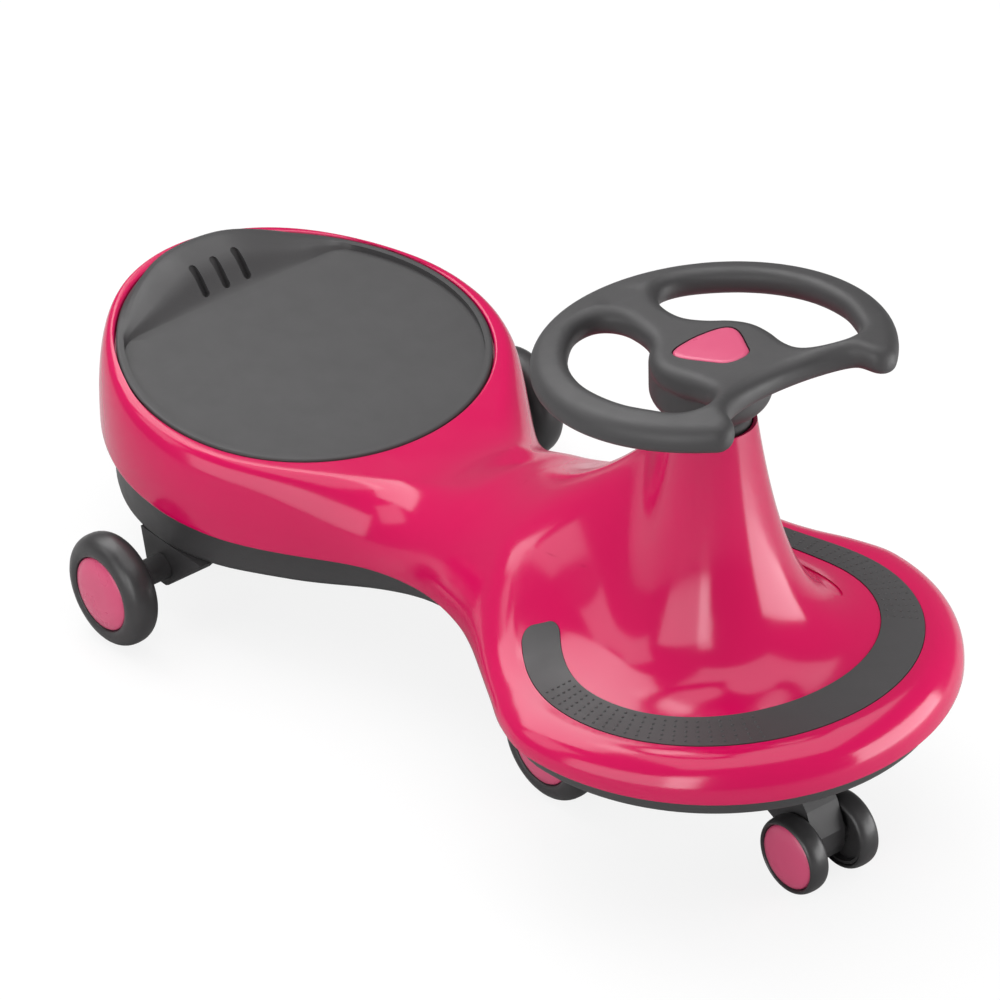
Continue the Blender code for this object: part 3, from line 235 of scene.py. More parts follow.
# Road wheels, axles and spacers
WHEEL_R = 0.0427
WHEEL_HALF_W = 0.0134
REAR_X = -0.4383
REAR_FACE_Y = 0.2008
YOKE_WHEEL_X = -0.0885
YOKE_FACE_Y = 0.0855
YOKE_OUT_Y = 0.0560
NOSE_X = 0.1075
NOSE_FACE_Y = 0.0309
NOSE_R = 0.0284
NOSE_HALF_W = 0.0083
NOSE_Z = 0.0313
CAP_R = 0.0282
NOSE_CAP_R = 0.0240
CAP_GAP = 0.0004
CAP_WALL = 0.0018
CAP_DOME = 0.0022
CORE_SHARE = 0.80
WHEEL_SPOKES = 72
TREAD_POWER = 0.85
AXLE_R = 0.0050
# a thick wall, so that the dark spacer fills the gap between leg and wheel, where it stands as painted
# shade
SPACER_WALL = 0.0048
FIT_GAP = 0.0003

# The steering wheel with its hub and neck, and the cap in it
SHAFT_R = 0.0095
SHAFT_TOP = 0.3700
SHAFT_BORE_LOW = 0.30
NUT_ROOM_R = 0.0155
NUT_ROOM_H = 0.0085
STEER_Z = 0.3712
STEER_R = 0.1226
STEER_TILT = 6.0
STEER_EDGE = 0.0092
STEER_FLAT = 0.0022
# shares of the radius between which the arms dip, and how far
STEER_DISH_BLEND = (0.36, 0.84)
STEER_DISH = 0.0055
# the rim's section leans about this share of the radius, its inner side higher
STEER_LEAN = 0.0022
STEER_LEAN_AT = 0.89
STEER_LEAN_RUN = 0.10
STEER_LEAN_FROM = 0.7
HUB_R = 0.0415
HUB_X = -0.0030
HUB_BOTTOM = 0.3315
NECK_R = 0.0254
NECK_BOTTOM = 0.3110
# radius, height and shift along X up the neck and the hub
HUB_PROFILE = ((NECK_R, NECK_BOTTOM, 0.0), (NECK_R, HUB_BOTTOM - 0.004, 0.0),
               (HUB_R - 0.010, HUB_BOTTOM - 0.0005, HUB_X), (HUB_R - 0.006, HUB_BOTTOM + 0.0015, HUB_X),
               (HUB_R - 0.002, HUB_BOTTOM + 0.006, HUB_X), (HUB_R, HUB_BOTTOM + 0.011, HUB_X),
               (HUB_R, STEER_Z - 0.0050, HUB_X))
SKIN_VOXEL = 0.0013
FILLET_ROUNDS = 14
TIP_SHARE = 0.1015
TIP_DEG = 40.0
# outlines on the steering wheel as shares of its radius
FRONT_EDGE = ((0.479, 0.000), (0.487, 0.106), (0.510, 0.211), (0.548, 0.312), (0.597, 0.398),
              (0.649, 0.455))
OPENING = ((-0.718, 0.296), (-0.694, 0.207), (-0.613, 0.142), (-0.507, 0.126), (-0.394, 0.146),
           (-0.292, 0.207), (-0.187, 0.300), (-0.065, 0.353), (0.073, 0.353), (0.219, 0.325),
           (0.349, 0.329), (0.446, 0.390), (0.507, 0.479), (0.511, 0.568), (0.455, 0.649),
           (0.333, 0.714), (0.179, 0.771), (0.000, 0.791), (-0.170, 0.775), (-0.341, 0.714),
           (-0.487, 0.621), (-0.609, 0.503), (-0.690, 0.394))
CAP_HALF = ((0.223, 0.0), (0.215, 0.055), (0.188, 0.096), (0.136, 0.126), (0.080, 0.156), (0.020, 0.187),
            (-0.035, 0.208), (-0.082, 0.210), (-0.122, 0.182), (-0.145, 0.110), (-0.155, 0.0))
CAP_LOOP = CAP_HALF + tuple((x, -y) for x, y in CAP_HALF[-2:0:-1])
CAP_POCKET_GAP = 0.0005
CAP_POCKET_Z = (0.0002, 0.0250)
# how far in from the cap's outline, and the height over the wheel's plane
CAP_ROUND = ((0.0, 0.0005), (0.0, 0.0044), (0.0003, 0.0050), (0.0008, 0.0055), (0.0016, 0.0059),
             (0.0026, 0.0061), (0.0038, 0.0062))

# The stage. A softbox has a name, an azimuth and a height angle in degrees,
# a distance, a width, a height and the brightness of its cloth.
LAMPS = (("front softbox", -77.0, 17.0, 3.0, 3.1, 1.75, 2.3),
         ("front strip", -53.0, 19.0, 3.1, 0.75, 2.0, 3.7),
         ("right softbox", 37.0, 3.0, 1.05, 0.86, 0.42, 5.6),
         ("rear softbox", 178.0, 50.0, 3.0, 2.7, 2.0, 3.6),
         ("left high softbox", -132.0, 34.0, 3.0, 1.3, 1.2, 1.7),
         ("overhead softbox", 60.0, 80.0, 2.8, 3.4, 3.0, 1.7))
LAMP_AIM = (0.05, 0.0, 0.16)
FLOOR_HALF = 6.0
FLOOR_DROP = 0.0002
PAPER_GLOW = 0.86
FLOOR_BOUNCE = 0.5
# the camera, fitted to the photograph: angles in degrees, focal length in pixels of a 1000 pixel frame
CAMERA_AROUND = 51.2957
CAMERA_ABOVE = 33.4861
CAMERA_ROLL = -1.369
CAMERA_FOCAL_PX = 7289.71
FRAME_PX = 1000
SENSOR_MM = 36.0
CAMERA_AWAY = 5.1
CAMERA_AIM_X = -0.2298
CAMERA_AIM_Z = 0.1403


# Colour and node helpers

def linear(hex_colour):
    """An sRGB hex colour as the four linear values that Blender works in."""
    values = [int(hex_colour[i:i + 2], 16) / 255 for i in (1, 3, 5)]
    return tuple(v / 12.92 if v <= 0.04045 else ((v + 0.055) / 1.055)**2.4 for v in values) + (1.0,)


def add_node(tree, kind, inputs=(), **settings):
    """Add a node, set its settings, and fill or link its inputs."""
    made = tree.nodes.new(kind)
    for name, value in settings.items():
        setattr(made, name, value)
    for name, value in dict(inputs).items():
        if isinstance(value, bpy.types.NodeSocket):
            tree.links.new(value, made.inputs[name])
        else:
            made.inputs[name].default_value = value
    return made


# Sizes and colours that a user would change

class SwingCarColours(bpy.types.PropertyGroup):
    """Colours of the mouldings, tyres and metal parts"""
    shell: bpy.props.FloatVectorProperty(
        name="Shell", description="Gloss pink of the body shell", subtype="COLOR", size=4,
        min=0.0, max=1.0, default=linear("#C40850"))
    caps: bpy.props.FloatVectorProperty(
        name="Caps", description="Softer pink of the wheel caps and the centre cap", subtype="COLOR",
        size=4, min=0.0, max=1.0, default=linear("#CC4F74"))
    grey: bpy.props.FloatVectorProperty(
        name="Grained grey", description="Grey of the seat, the grip pad and the steering wheel",
        subtype="COLOR", size=4, min=0.0, max=1.0, default=linear("#3A393A"))
    # on the spacers this dark grey is painted shade, for the shaded gap between leg or yoke and wheel
    tray: bpy.props.FloatVectorProperty(
        name="Under-tray", description="Dark grey of the tray, the yoke, the wheel cores and the spacers",
        subtype="COLOR", size=4, min=0.0, max=1.0, default=linear("#393839"))
    tyre: bpy.props.FloatVectorProperty(
        name="Tyres", description="Charcoal of the tyres", subtype="COLOR", size=4,
        min=0.0, max=1.0, default=linear("#333233"))
    zinc: bpy.props.FloatVectorProperty(
        name="Zinc", description="Bright zinc of the axles, shaft and nuts", subtype="COLOR", size=4,
        min=0.0, max=1.0, default=linear("#B9BBBD"))
    nylon: bpy.props.FloatVectorProperty(
        name="Nylon", description="Natural nylon of the column's bushes", subtype="COLOR", size=4,
        min=0.0, max=1.0, default=linear("#DDDCD6"))


class SwingCarSizes(bpy.types.PropertyGroup):
    """Sizes of the moulded dots and grain"""
    dot_pitch_along: bpy.props.FloatProperty(
        name="Dot pitch along", description="Distance between the grip pad's dots along the arc",
        unit="LENGTH", default=0.0080, min=0.004, max=0.02)
    dot_pitch_across: bpy.props.FloatProperty(
        name="Dot pitch across", description="Distance between the grip pad's dots across the arc",
        unit="LENGTH", default=0.0048, min=0.003, max=0.01)
    dot_radius: bpy.props.FloatProperty(
        name="Dot radius", description="Radius of one moulded dot", unit="LENGTH",
        default=0.0011, min=0.0004, max=0.002)
    dot_height: bpy.props.FloatProperty(
        name="Dot height", description="Height of one moulded dot over the pad", unit="LENGTH",
        default=0.0007, min=0.0, max=0.0012)
    grain: bpy.props.FloatProperty(
        name="Grain", description="Size of the moulded grain on the grey parts", unit="LENGTH",
        default=0.0011, min=0.0003, max=0.004)


class SwingCarStage(bpy.types.PropertyGroup):
    """Floor and room light of the stage"""
    floor: bpy.props.FloatVectorProperty(
        name="Floor", description="Colour of the floor", subtype="COLOR", size=4,
        min=0.0, max=1.0, default=linear("#FDFDFD"))
    room: bpy.props.FloatProperty(
        name="Room light", description="Strength of the even light of the room", default=0.22,
        min=0.0, max=2.0)


# Surfaces of the shell

def smoothstep(lo, hi, value):
    """From 0 at lo to 1 at hi, level at both ends."""
    t = np.clip((np.asarray(value, float) - lo) / (hi - lo), 0.0, 1.0)
    return t * t * (3 - 2 * t)


def hermite(stations, x):
    """Smooth curve through the stations, level at both ends."""
    xs = np.array([s[0] for s in stations])
    ys = np.array([s[1] for s in stations])
    slope = np.zeros(len(xs))
    slope[1:-1] = (ys[2:] - ys[:-2]) / (xs[2:] - xs[:-2])
    x = np.clip(x, xs[0], xs[-1])
    i = np.clip(np.searchsorted(xs, x) - 1, 0, len(xs) - 2)
    h = xs[i + 1] - xs[i]
    t = (x - xs[i]) / h
    return ((2 * t**3 - 3 * t**2 + 1) * ys[i] + (t**3 - 2 * t**2 + t) * h * slope[i]
            + (3 * t**2 - 2 * t**3) * ys[i + 1] + (t**3 - t**2) * h * slope[i + 1])


def rear_corner(c):
    """From 0 to 1 at the two rear corners of the lobe, for the cosine of an angle."""
    back = np.minimum(c, 0.0)**2
    return 4 * back * (1 - back)


def half_outline(rear_steps, waist_steps, neck_steps, front_steps):
    """Left half of the parting outline, rear tip to front tip."""
    widest = math.acos((WAIST_STATIONS[0][0] - LOBE_X) / LOBE_HALF_LENGTH)
    a = np.linspace(math.pi, widest, rear_steps, endpoint=False)
    c = np.cos(a)
    corner = rear_corner(c)
    tuck = LOBE_TUCK * np.minimum(c, 0.0)**2
    rear = np.stack([LOBE_X + LOBE_HALF_LENGTH * c + tuck + LOBE_CORNER_X * corner,
                     (LOBE_HALF_WIDTH * (1 + LOBE_EGG * c) - LOBE_CORNER_Y * corner) * np.sin(a)], 1)
    x = np.concatenate([np.linspace(WAIST_STATIONS[0][0], WAIST_X, waist_steps, endpoint=False),
                        np.linspace(WAIST_X, 0.0, neck_steps, endpoint=False)])
    waist = np.stack([x, hermite(WAIST_STATIONS, x)], 1)
    a = np.linspace(math.pi / 2, 0.0, front_steps + 1)
    front = np.stack([DECK_R * np.cos(a), DECK_R * np.sin(a)], 1)
    half = np.vstack([rear, waist, front])
    half[0, 1] = 0.0
    half[-1, 1] = 0.0
    return half


def closed_outline(steps):
    """The whole parting outline, and how many of its points the left half has."""
    half = half_outline(*steps)
    return np.vstack([half, half[-2:0:-1] * (1, -1)]), len(half)


# the outline that distances are measured to
DENSE = closed_outline((60, 60, 60, 60))[0]


def edge_distance(x, y):
    """Distance from a point to the parting outline."""
    p = np.stack([np.ravel(x), np.ravel(y)], 1)
    a = DENSE[None]
    ab = np.roll(DENSE, -1, 0)[None] - a
    size = (ab**2).sum(-1)
    out = np.empty(len(p))
    # in batches, so that the table of distances stays small
    for start in range(0, len(p), 4000):
        q = p[start:start + 4000, None]
        t = np.clip(((q - a) * ab).sum(-1) / size, 0, 1)
        out[start:start + 4000] = np.sqrt(((q - (a + t[..., None] * ab))**2).sum(-1)).min(1)
    return out.reshape(np.shape(x))


def parting(x):
    """Height of the parting line."""
    x = np.asarray(x, float)
    lobe = LOBE_PARTING_Z + SEAT_SLOPE * (x - SEAT_X)
    return lobe + (DECK_PARTING_Z - lobe) * smoothstep(*PARTING_BLEND, x)


def seat_plane(x):
    """Height of the tilted plane of the seat's rim."""
    return SEAT_RIM_Z + SEAT_SLOPE * (x - SEAT_X)


def horn_reach(x, y):
    """Distance from the column, drawn in behind it, where the horn runs out into the ridge."""
    back = np.maximum(-np.asarray(x, float), 0.0)
    t = np.clip(back / RIDGE_START, 0.0, 1.0)
    gone = RIDGE_START * (t**3 - t**4 / 2) + np.maximum(back - RIDGE_START, 0.0)
    along = np.where(x > 0, x, (1 - RIDGE_STRETCH) * gone - back)
    return np.hypot(along, y * (1 - RIDGE_SPREAD * smoothstep(0.0, RIDGE_RUN, back)))


def top_surface(x, y):
    """Upper surface without its rounded outer edge."""
    x = np.asarray(x, float)
    y = np.asarray(y, float)
    blend = smoothstep(*TOP_BLEND, x)
    base = seat_plane(x) * (1 - blend) + (DECK_Z + DECK_SLOPE * (x - PAD_X_OUT)) * blend
    rise = np.maximum(horn_reach(x, y), CONE_TOP_R) - CONE_TOP_R
    high = CONE_HEIGHT * np.exp(-rise / CONE_FLARE) * smoothstep(*HORN_BLEND, x)
    return base + high


def edge_width(x):
    """Width of the rounded outer edge: narrow at the rear, wide at the waist."""
    width = EDGE_REAR + (EDGE_SEAT - EDGE_REAR) * smoothstep(*EDGE_SEAT_BLEND, x)
    width = width + (EDGE_WAIST - EDGE_SEAT) * smoothstep(*EDGE_WAIST_BLEND, x)
    return width - (EDGE_WAIST - EDGE_DECK) * smoothstep(*EDGE_DECK_BLEND, x)


def inner_edge_width(x):
    """Width of the rounded edge on the shell's inside."""
    return np.maximum(edge_width(x) - INNER_EDGE_LESS, INNER_EDGE_LEAST)


def edge_round(u, x):
    """Share of the full height at a share of the way in from the outer edge."""
    power = LOBE_ROUND_POWER - (LOBE_ROUND_POWER - DECK_ROUND_POWER) * smoothstep(*ROUND_BLEND, x)
    u = np.clip(u, 0.0, 1.0)
    return (1 - (1 - u)**power)**(1 / power)


def outer_height(x, y):
    """Height of the shell's outer surface."""
    foot = parting(x) + SKIRT_H
    share = edge_round(edge_distance(x, y) / edge_width(x), x)
    return foot + (top_surface(x, y) - foot) * share


def inner_height(x, y):
    """Underside of the shell, one wall thickness below the outer surface."""
    step = 0.0005
    gx = (top_surface(x + step, y) - top_surface(x - step, y)) / (2 * step)
    gy = (top_surface(x, y + step) - top_surface(x, y - step)) / (2 * step)
    drop = np.minimum(SHELL_T * np.sqrt(1 + gx**2 + gy**2), INNER_DROP_MOST)
    foot = parting(x) + SKIRT_H
    share = edge_round((edge_distance(x, y) - SHELL_T) / inner_edge_width(x), x)
    return foot + (top_surface(x, y) - drop - foot) * share


def seat_rim(angle, extra=0.0):
    """Points of the seat's rim outline, seen from above."""
    c = np.cos(angle)
    corner = rear_corner(c)
    return (SEAT_X + (SEAT_HALF_LENGTH + extra) * c + SEAT_CORNER_X * corner,
            ((SEAT_HALF_WIDTH + extra) * (1 + SEAT_EGG * c) - SEAT_CORNER_Y * corner) * np.sin(angle))


def pad_point(angle, share, grow=0.0):
    """A point on the pad: share 0 is its inner edge and 1 its outer edge."""
    xi = PAD_X_IN + (PAD_RX_IN - grow) * np.cos(angle)
    yi = (PAD_RY_IN - grow) * np.sin(angle)
    xo = PAD_X_OUT + (PAD_RX_OUT + grow) * np.cos(angle)
    yo = (PAD_RY_OUT + grow) * np.sin(angle)
    return xi + (xo - xi) * share, yi + (yo - yi) * share


# Loops of points

def round_angles(count):
    """Even angles once round."""
    return np.linspace(0, 2 * math.pi, count, endpoint=False)


def inward(points):
    """Unit normals of a closed loop, pointing into it."""
    ahead = np.roll(points, -1, 0) - np.roll(points, 1, 0)
    ahead = ahead / np.linalg.norm(ahead, axis=1)[:, None]
    normal = np.stack([ahead[:, 1], -ahead[:, 0]], 1)
    if ((points.mean(0) - points) * normal).sum() < 0:
        normal = -normal
    return normal


def inside(loop, x, y):
    """Which points lie inside a closed loop."""
    hit = np.zeros(len(x), bool)
    for (x0, y0), (x1, y1) in zip(loop, np.roll(loop, -1, 0)):
        if y0 != y1:
            hit ^= ((y0 > y) != (y1 > y)) & (x < (x1 - x0) * (y - y0) / (y1 - y0) + x0)
    return hit


def between(loops, x, y):
    """Which points lie inside the first loop and outside the others."""
    hit = inside(loops[0], x, y)
    for loop in loops[1:]:
        hit &= ~inside(loop, x, y)
    return hit


def resample(points, count):
    """A smooth closed curve through the points, with count points on it."""
    pts = np.array(points, float)
    n = len(pts)
    before, after, later = np.roll(pts, 1, 0), np.roll(pts, -1, 0), np.roll(pts, -2, 0)
    t = np.linspace(0, 1, 24, endpoint=False)[None, :, None]
    p0, p1, p2, p3 = (q[:, None] for q in (before, pts, after, later))
    curve = 0.5 * (2 * p1 + (p2 - p0) * t + (2 * p0 - 5 * p1 + 4 * p2 - p3) * t**2
                   + (3 * p1 - p0 - 3 * p2 + p3) * t**3)
    curve = curve.reshape(n * 24, 2)
    closed = np.vstack([curve, curve[:1]])
    way = np.concatenate([[0], np.cumsum(np.linalg.norm(np.diff(closed, axis=0), axis=1))])
    at = np.linspace(0, way[-1], count, endpoint=False)
    return np.stack([np.interp(at, way, closed[:, k]) for k in (0, 1)], 1)


# Mesh helpers

def new_piece(name, bm, finish, body, replaced=(), smooth_deg=35.0):
    """Turn a bmesh into a piece of the car that rides on a body."""
    bmesh.ops.recalc_face_normals(bm, faces=bm.faces)
    mesh = bpy.data.meshes.new(name)
    bm.to_mesh(mesh)
    bm.free()
    mesh.shade_smooth()
    mesh.set_sharp_from_angle(angle=math.radians(smooth_deg))
    mesh.materials.append(finish)
    piece = bpy.data.objects.new(name, mesh)
    bpy.context.scene.collection.objects.link(piece)
    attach(piece, body)
    if replaced:
        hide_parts(*replaced)
    return piece


def bake_modifiers(piece, smooth_deg):
    """Put the result of a piece's modifiers into its mesh."""
    graph = bpy.context.evaluated_depsgraph_get()
    mesh = bpy.data.meshes.new_from_object(piece.evaluated_get(graph))
    old = piece.data
    piece.modifiers.clear()
    piece.data = mesh
    bpy.data.meshes.remove(old)
    mesh.shade_smooth()
    mesh.set_sharp_from_angle(angle=math.radians(smooth_deg))


def carve(piece, bm, smooth_deg, operation="DIFFERENCE"):
    """Cut a bmesh out of a piece, or join it on."""
    bmesh.ops.recalc_face_normals(bm, faces=bm.faces)
    mesh = bpy.data.meshes.new("tool")
    bm.to_mesh(mesh)
    bm.free()
    tool = bpy.data.objects.new("tool", mesh)
    bpy.context.scene.collection.objects.link(tool)
    cut = piece.modifiers.new("cut", "BOOLEAN")
    cut.operation = operation
    cut.solver = "EXACT"
    cut.object = tool
    bake_modifiers(piece, smooth_deg)
    bpy.data.objects.remove(tool, do_unlink=True)
    bpy.data.meshes.remove(mesh)


def finish_node(name, finish):
    """Give a solid that stays in view its finish."""
    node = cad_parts[name]
    node.data.materials.clear()
    node.data.materials.append(finish)
    node.data.shade_smooth()
    node.data.set_sharp_from_angle(angle=math.radians(32))
    return node


def ring_at(bm, points, heights):
    """A ring of vertices over points that count from the column."""
    return [bm.verts.new((x + COLUMN_X, y, z)) for (x, y), z in zip(points, heights)]


def bridge(bm, rings):
    """Faces between neighbouring closed rings of vertices."""
    for one, two in zip(rings, rings[1:]):
        count = len(one)
        for i in range(count):
            j = (i + 1) % count
            bm.faces.new((one[i], one[j], two[j], two[i]))


def close_off(bm, rings):
    """Join the rings, with a face over the first and the last of them."""
    bridge(bm, rings)
    bm.faces.new(rings[0])
    bm.faces.new(rings[-1])


def cylinder(bm, radius, p0, p1, segments=48):
    """A closed cylinder from one point to another."""
    p0 = Vector(p0)
    axis = Vector(p1) - p0
    place = Matrix.Translation(p0 + axis / 2) @ axis.to_track_quat("Z", "Y").to_matrix().to_4x4()
    bmesh.ops.create_cone(bm, cap_ends=True, segments=segments, radius1=radius, radius2=radius,
                          depth=axis.length, matrix=place)


def prism(bm, outline, lo, hi, axis="Z"):
    """A plan drawn out from lo to hi along an axis."""
    def point(u, v, w):
        return (u, v, w) if axis == "Z" else (u, w, v)
    bottom = [bm.verts.new(point(u, v, lo)) for u, v in outline]
    top = [bm.verts.new(point(u, v, hi)) for u, v in outline]
    bm.faces.new(bottom)
    bm.faces.new(top)
    bridge(bm, [bottom, top])


def turned(profile, centre, side, segments, closed=True):
    """A profile of (radius, outward y) turned about the Y axis."""
    bm = bmesh.new()
    rings = []
    for radius, out in profile:
        ring = []
        for k in range(segments):
            a = 2 * math.pi * k / segments - math.pi / 2
            ring.append(bm.verts.new((centre[0] + radius * math.cos(a), centre[1] + side * out,
                                      centre[2] + radius * math.sin(a))))
        rings.append(ring)
    if closed:
        bridge(bm, rings + [rings[0]])
    else:
        close_off(bm, rings)
    return bm


# Finishes

def varied(tree, place, size, lo, hi, detail=3.0):
    """Noise of a real size, mapped to run from lo to hi."""
    noise = add_node(tree, "ShaderNodeTexNoise", {"Vector": place, "Scale": 1.0 / size, "Detail": detail,
                                                  "Roughness": 0.55})
    return add_node(tree, "ShaderNodeMapRange", {
        "Value": noise.outputs["Fac"], "From Min": 0.3, "From Max": 0.7, "To Min": lo, "To Max": hi
    }).outputs["Result"]


def new_finish(name):
    """A material with an empty node tree."""
    mat = bpy.data.materials.get(name) or bpy.data.materials.new(name)
    mat.use_nodes = True
    mat.node_tree.nodes.clear()
    return mat


def gloss_polypropylene(name, colour, roughness):
    """Pigmented polypropylene from a polished mould: deep even colour with clear reflections."""
    tree = new_finish(name).node_tree
    place = add_node(tree, "ShaderNodeTexCoord").outputs["Object"]
    # the pigment is even; a slow change of a few per cent is what a large moulding shows
    tone = varied(tree, place, 90 * MM, 0.975, 1.025)
    mixed = add_node(tree, "ShaderNodeHueSaturation", {"Value": tone, "Color": tuple(colour)})
    # a polished mould leaves slightly uneven gloss, in patches of about 30 mm
    gloss = varied(tree, place, 30 * MM, roughness * 0.85, roughness * 1.2)
    # faint sink and flow marks, about 25 mm across and less than a tenth of a millimetre deep
    wave = varied(tree, place, 25 * MM, 0.0, 1.0, 1.0)
    bump = add_node(tree, "ShaderNodeBump", {"Height": wave, "Strength": 0.35, "Distance": 0.12 * MM})
    shader = add_node(tree, "ShaderNodeBsdfPrincipled", {
        "Base Color": mixed.outputs["Color"], "Roughness": gloss, "IOR": 1.49,
        "Normal": bump.outputs["Normal"]})
    add_node(tree, "ShaderNodeOutputMaterial", {"Surface": shader.outputs["BSDF"]})


def grained_polypropylene(name, colour, roughness, grain, depth):
    """Polypropylene from a mould with an etched leather-like grain: even and nearly matt."""
    tree = new_finish(name).node_tree
    place = add_node(tree, "ShaderNodeTexCoord").outputs["Object"]
    tone = varied(tree, place, 45 * MM, 0.96, 1.04)
    mixed = add_node(tree, "ShaderNodeHueSaturation", {"Value": tone, "Color": tuple(colour)})
    # rubbing polishes the grain a little, in patches of about 20 mm
    gloss = varied(tree, place, 20 * MM, roughness * 0.92, roughness * 1.08)
    # real grain is about 0.4 mm; it is drawn about 1 mm wide, or it would not show at this distance
    cells = add_node(tree, "ShaderNodeTexVoronoi", {"Vector": place, "Scale": 1.0 / grain,
                                                    "Randomness": 1.0}, feature="F1")
    bump = add_node(tree, "ShaderNodeBump", {"Height": cells.outputs["Distance"], "Strength": 0.6,
                                             "Distance": depth})
    shader = add_node(tree, "ShaderNodeBsdfPrincipled", {
        "Base Color": mixed.outputs["Color"], "Roughness": gloss, "IOR": 1.49,
        "Normal": bump.outputs["Normal"]})
    add_node(tree, "ShaderNodeOutputMaterial", {"Surface": shader.outputs["BSDF"]})


def cast_polyurethane(name, colour):
    """Polyurethane tyre, cast in a smooth mould: charcoal, with a soft wet-looking shine."""
    tree = new_finish(name).node_tree
    place = add_node(tree, "ShaderNodeTexCoord").outputs["Object"]
    tone = varied(tree, place, 12 * MM, 0.93, 1.07)
    mixed = add_node(tree, "ShaderNodeHueSaturation", {"Value": tone, "Color": tuple(colour)})
    gloss = varied(tree, place, 8 * MM, 0.30, 0.42)
    # shallow flow marks, about 4 mm across
    wave = varied(tree, place, 4 * MM, 0.0, 1.0, 2.0)
    bump = add_node(tree, "ShaderNodeBump", {"Height": wave, "Strength": 0.25, "Distance": 0.08 * MM})
    shader = add_node(tree, "ShaderNodeBsdfPrincipled", {
        "Base Color": mixed.outputs["Color"], "Roughness": gloss, "IOR": 1.50,
        "Normal": bump.outputs["Normal"]})
    add_node(tree, "ShaderNodeOutputMaterial", {"Surface": shader.outputs["BSDF"]})


def zinc_plated_steel(name, colour):
    """Turned steel with bright zinc and fine turning lines."""
    tree = new_finish(name).node_tree
    place = add_node(tree, "ShaderNodeTexCoord").outputs["Object"]
    gloss = varied(tree, place, 1.5 * MM, 0.26, 0.40)
    # real lines are about 0.3 mm apart; they are drawn 1.18 mm apart, or they would not show.
    # At scale 1 the bands repeat 20 times over 2 pi.
    lines = add_node(tree, "ShaderNodeTexWave", {"Vector": place, "Scale": 2 * math.pi / (20 * LINE_PITCH),
                                                 "Distortion": 0.6}, wave_type="BANDS", bands_direction="Y")
    bump = add_node(tree, "ShaderNodeBump", {"Height": lines.outputs["Fac"], "Strength": 0.2,
                                             "Distance": 0.03 * MM})
    shader = add_node(tree, "ShaderNodeBsdfPrincipled", {
        "Base Color": tuple(colour), "Metallic": 1.0, "Roughness": gloss, "Normal": bump.outputs["Normal"]})
    add_node(tree, "ShaderNodeOutputMaterial", {"Surface": shader.outputs["BSDF"]})


def natural_nylon(name, colour):
    """Turned natural nylon: slightly waxy and a little uneven in tone."""
    tree = new_finish(name).node_tree
    place = add_node(tree, "ShaderNodeTexCoord").outputs["Object"]
    tone = varied(tree, place, 6 * MM, 0.96, 1.04)
    mixed = add_node(tree, "ShaderNodeHueSaturation", {"Value": tone, "Color": tuple(colour)})
    gloss = varied(tree, place, 3 * MM, 0.42, 0.55)
    shader = add_node(tree, "ShaderNodeBsdfPrincipled", {
        "Base Color": mixed.outputs["Color"], "Roughness": gloss, "IOR": 1.53})
    add_node(tree, "ShaderNodeOutputMaterial", {"Surface": shader.outputs["BSDF"]})


def finishes():
    """Every finish of the car, made once."""
    colours = bpy.context.scene.swing_car_colours
    grain = bpy.context.scene.swing_car_sizes.grain
    if "gloss pink polypropylene" not in bpy.data.materials:
        gloss_polypropylene("gloss pink polypropylene", colours.shell, 0.15)
        gloss_polypropylene("satin pink polypropylene", colours.caps, 0.30)
        grained_polypropylene("grained grey polypropylene", colours.grey, 0.52, grain, 0.06 * MM)
        grained_polypropylene("matt dark polypropylene", colours.tray, 0.50, grain * 1.4, 0.05 * MM)
        cast_polyurethane("charcoal polyurethane", colours.tyre)
        zinc_plated_steel("zinc plated steel", colours.zinc)
        natural_nylon("natural nylon", colours.nylon)
    return bpy.data.materials


# Body shell

def shell_rings(inner):
    """Rings of points in from the outline, at shares of the rounded edge's width."""
    outline = resample(closed_outline((34, 26, 26, 40))[0], 300)
    normal = inward(outline)
    width = edge_width(outline[:, 0])
    shares = INNER_EDGE_SHARES if inner else EDGE_SHARES
    start = SHELL_T if inner else 0.0
    return outline, [outline + normal * (start + (width - start) * share)[:, None] for share in shares]


def horn_rings():
    """Rings of even height round the horn, from its mouth down and back along the ridge."""
    angle = round_angles(HORN_SPOKES)
    out = np.linspace(0, 0.30, 1500)
    reaches = CONE_TOP_R - CONE_FLARE * np.log(HORN_LEVELS)
    at = np.zeros((len(reaches), HORN_SPOKES))
    for k, a in enumerate(angle):
        reach = horn_reach(out * math.cos(a), out * math.sin(a))
        at[:, k] = np.interp(reaches, np.maximum.accumulate(reach), out)
    # the first rings stay clear of the round mouth
    at = np.maximum(at, CONE_TOP_R + 0.0008 * np.arange(1, len(reaches) + 1)[:, None])
    rings = [np.stack([CONE_TOP_R * np.cos(angle), CONE_TOP_R * np.sin(angle)], 1)]
    for row in at:
        rings.append(np.stack([row * np.cos(angle), row * np.sin(angle)], 1))
    return rings


def rim_points(grow):
    """The seat's rim as the shell has it, grown outwards."""
    return np.stack(seat_rim(round_angles(RIM_SPOKES), grow), 1)


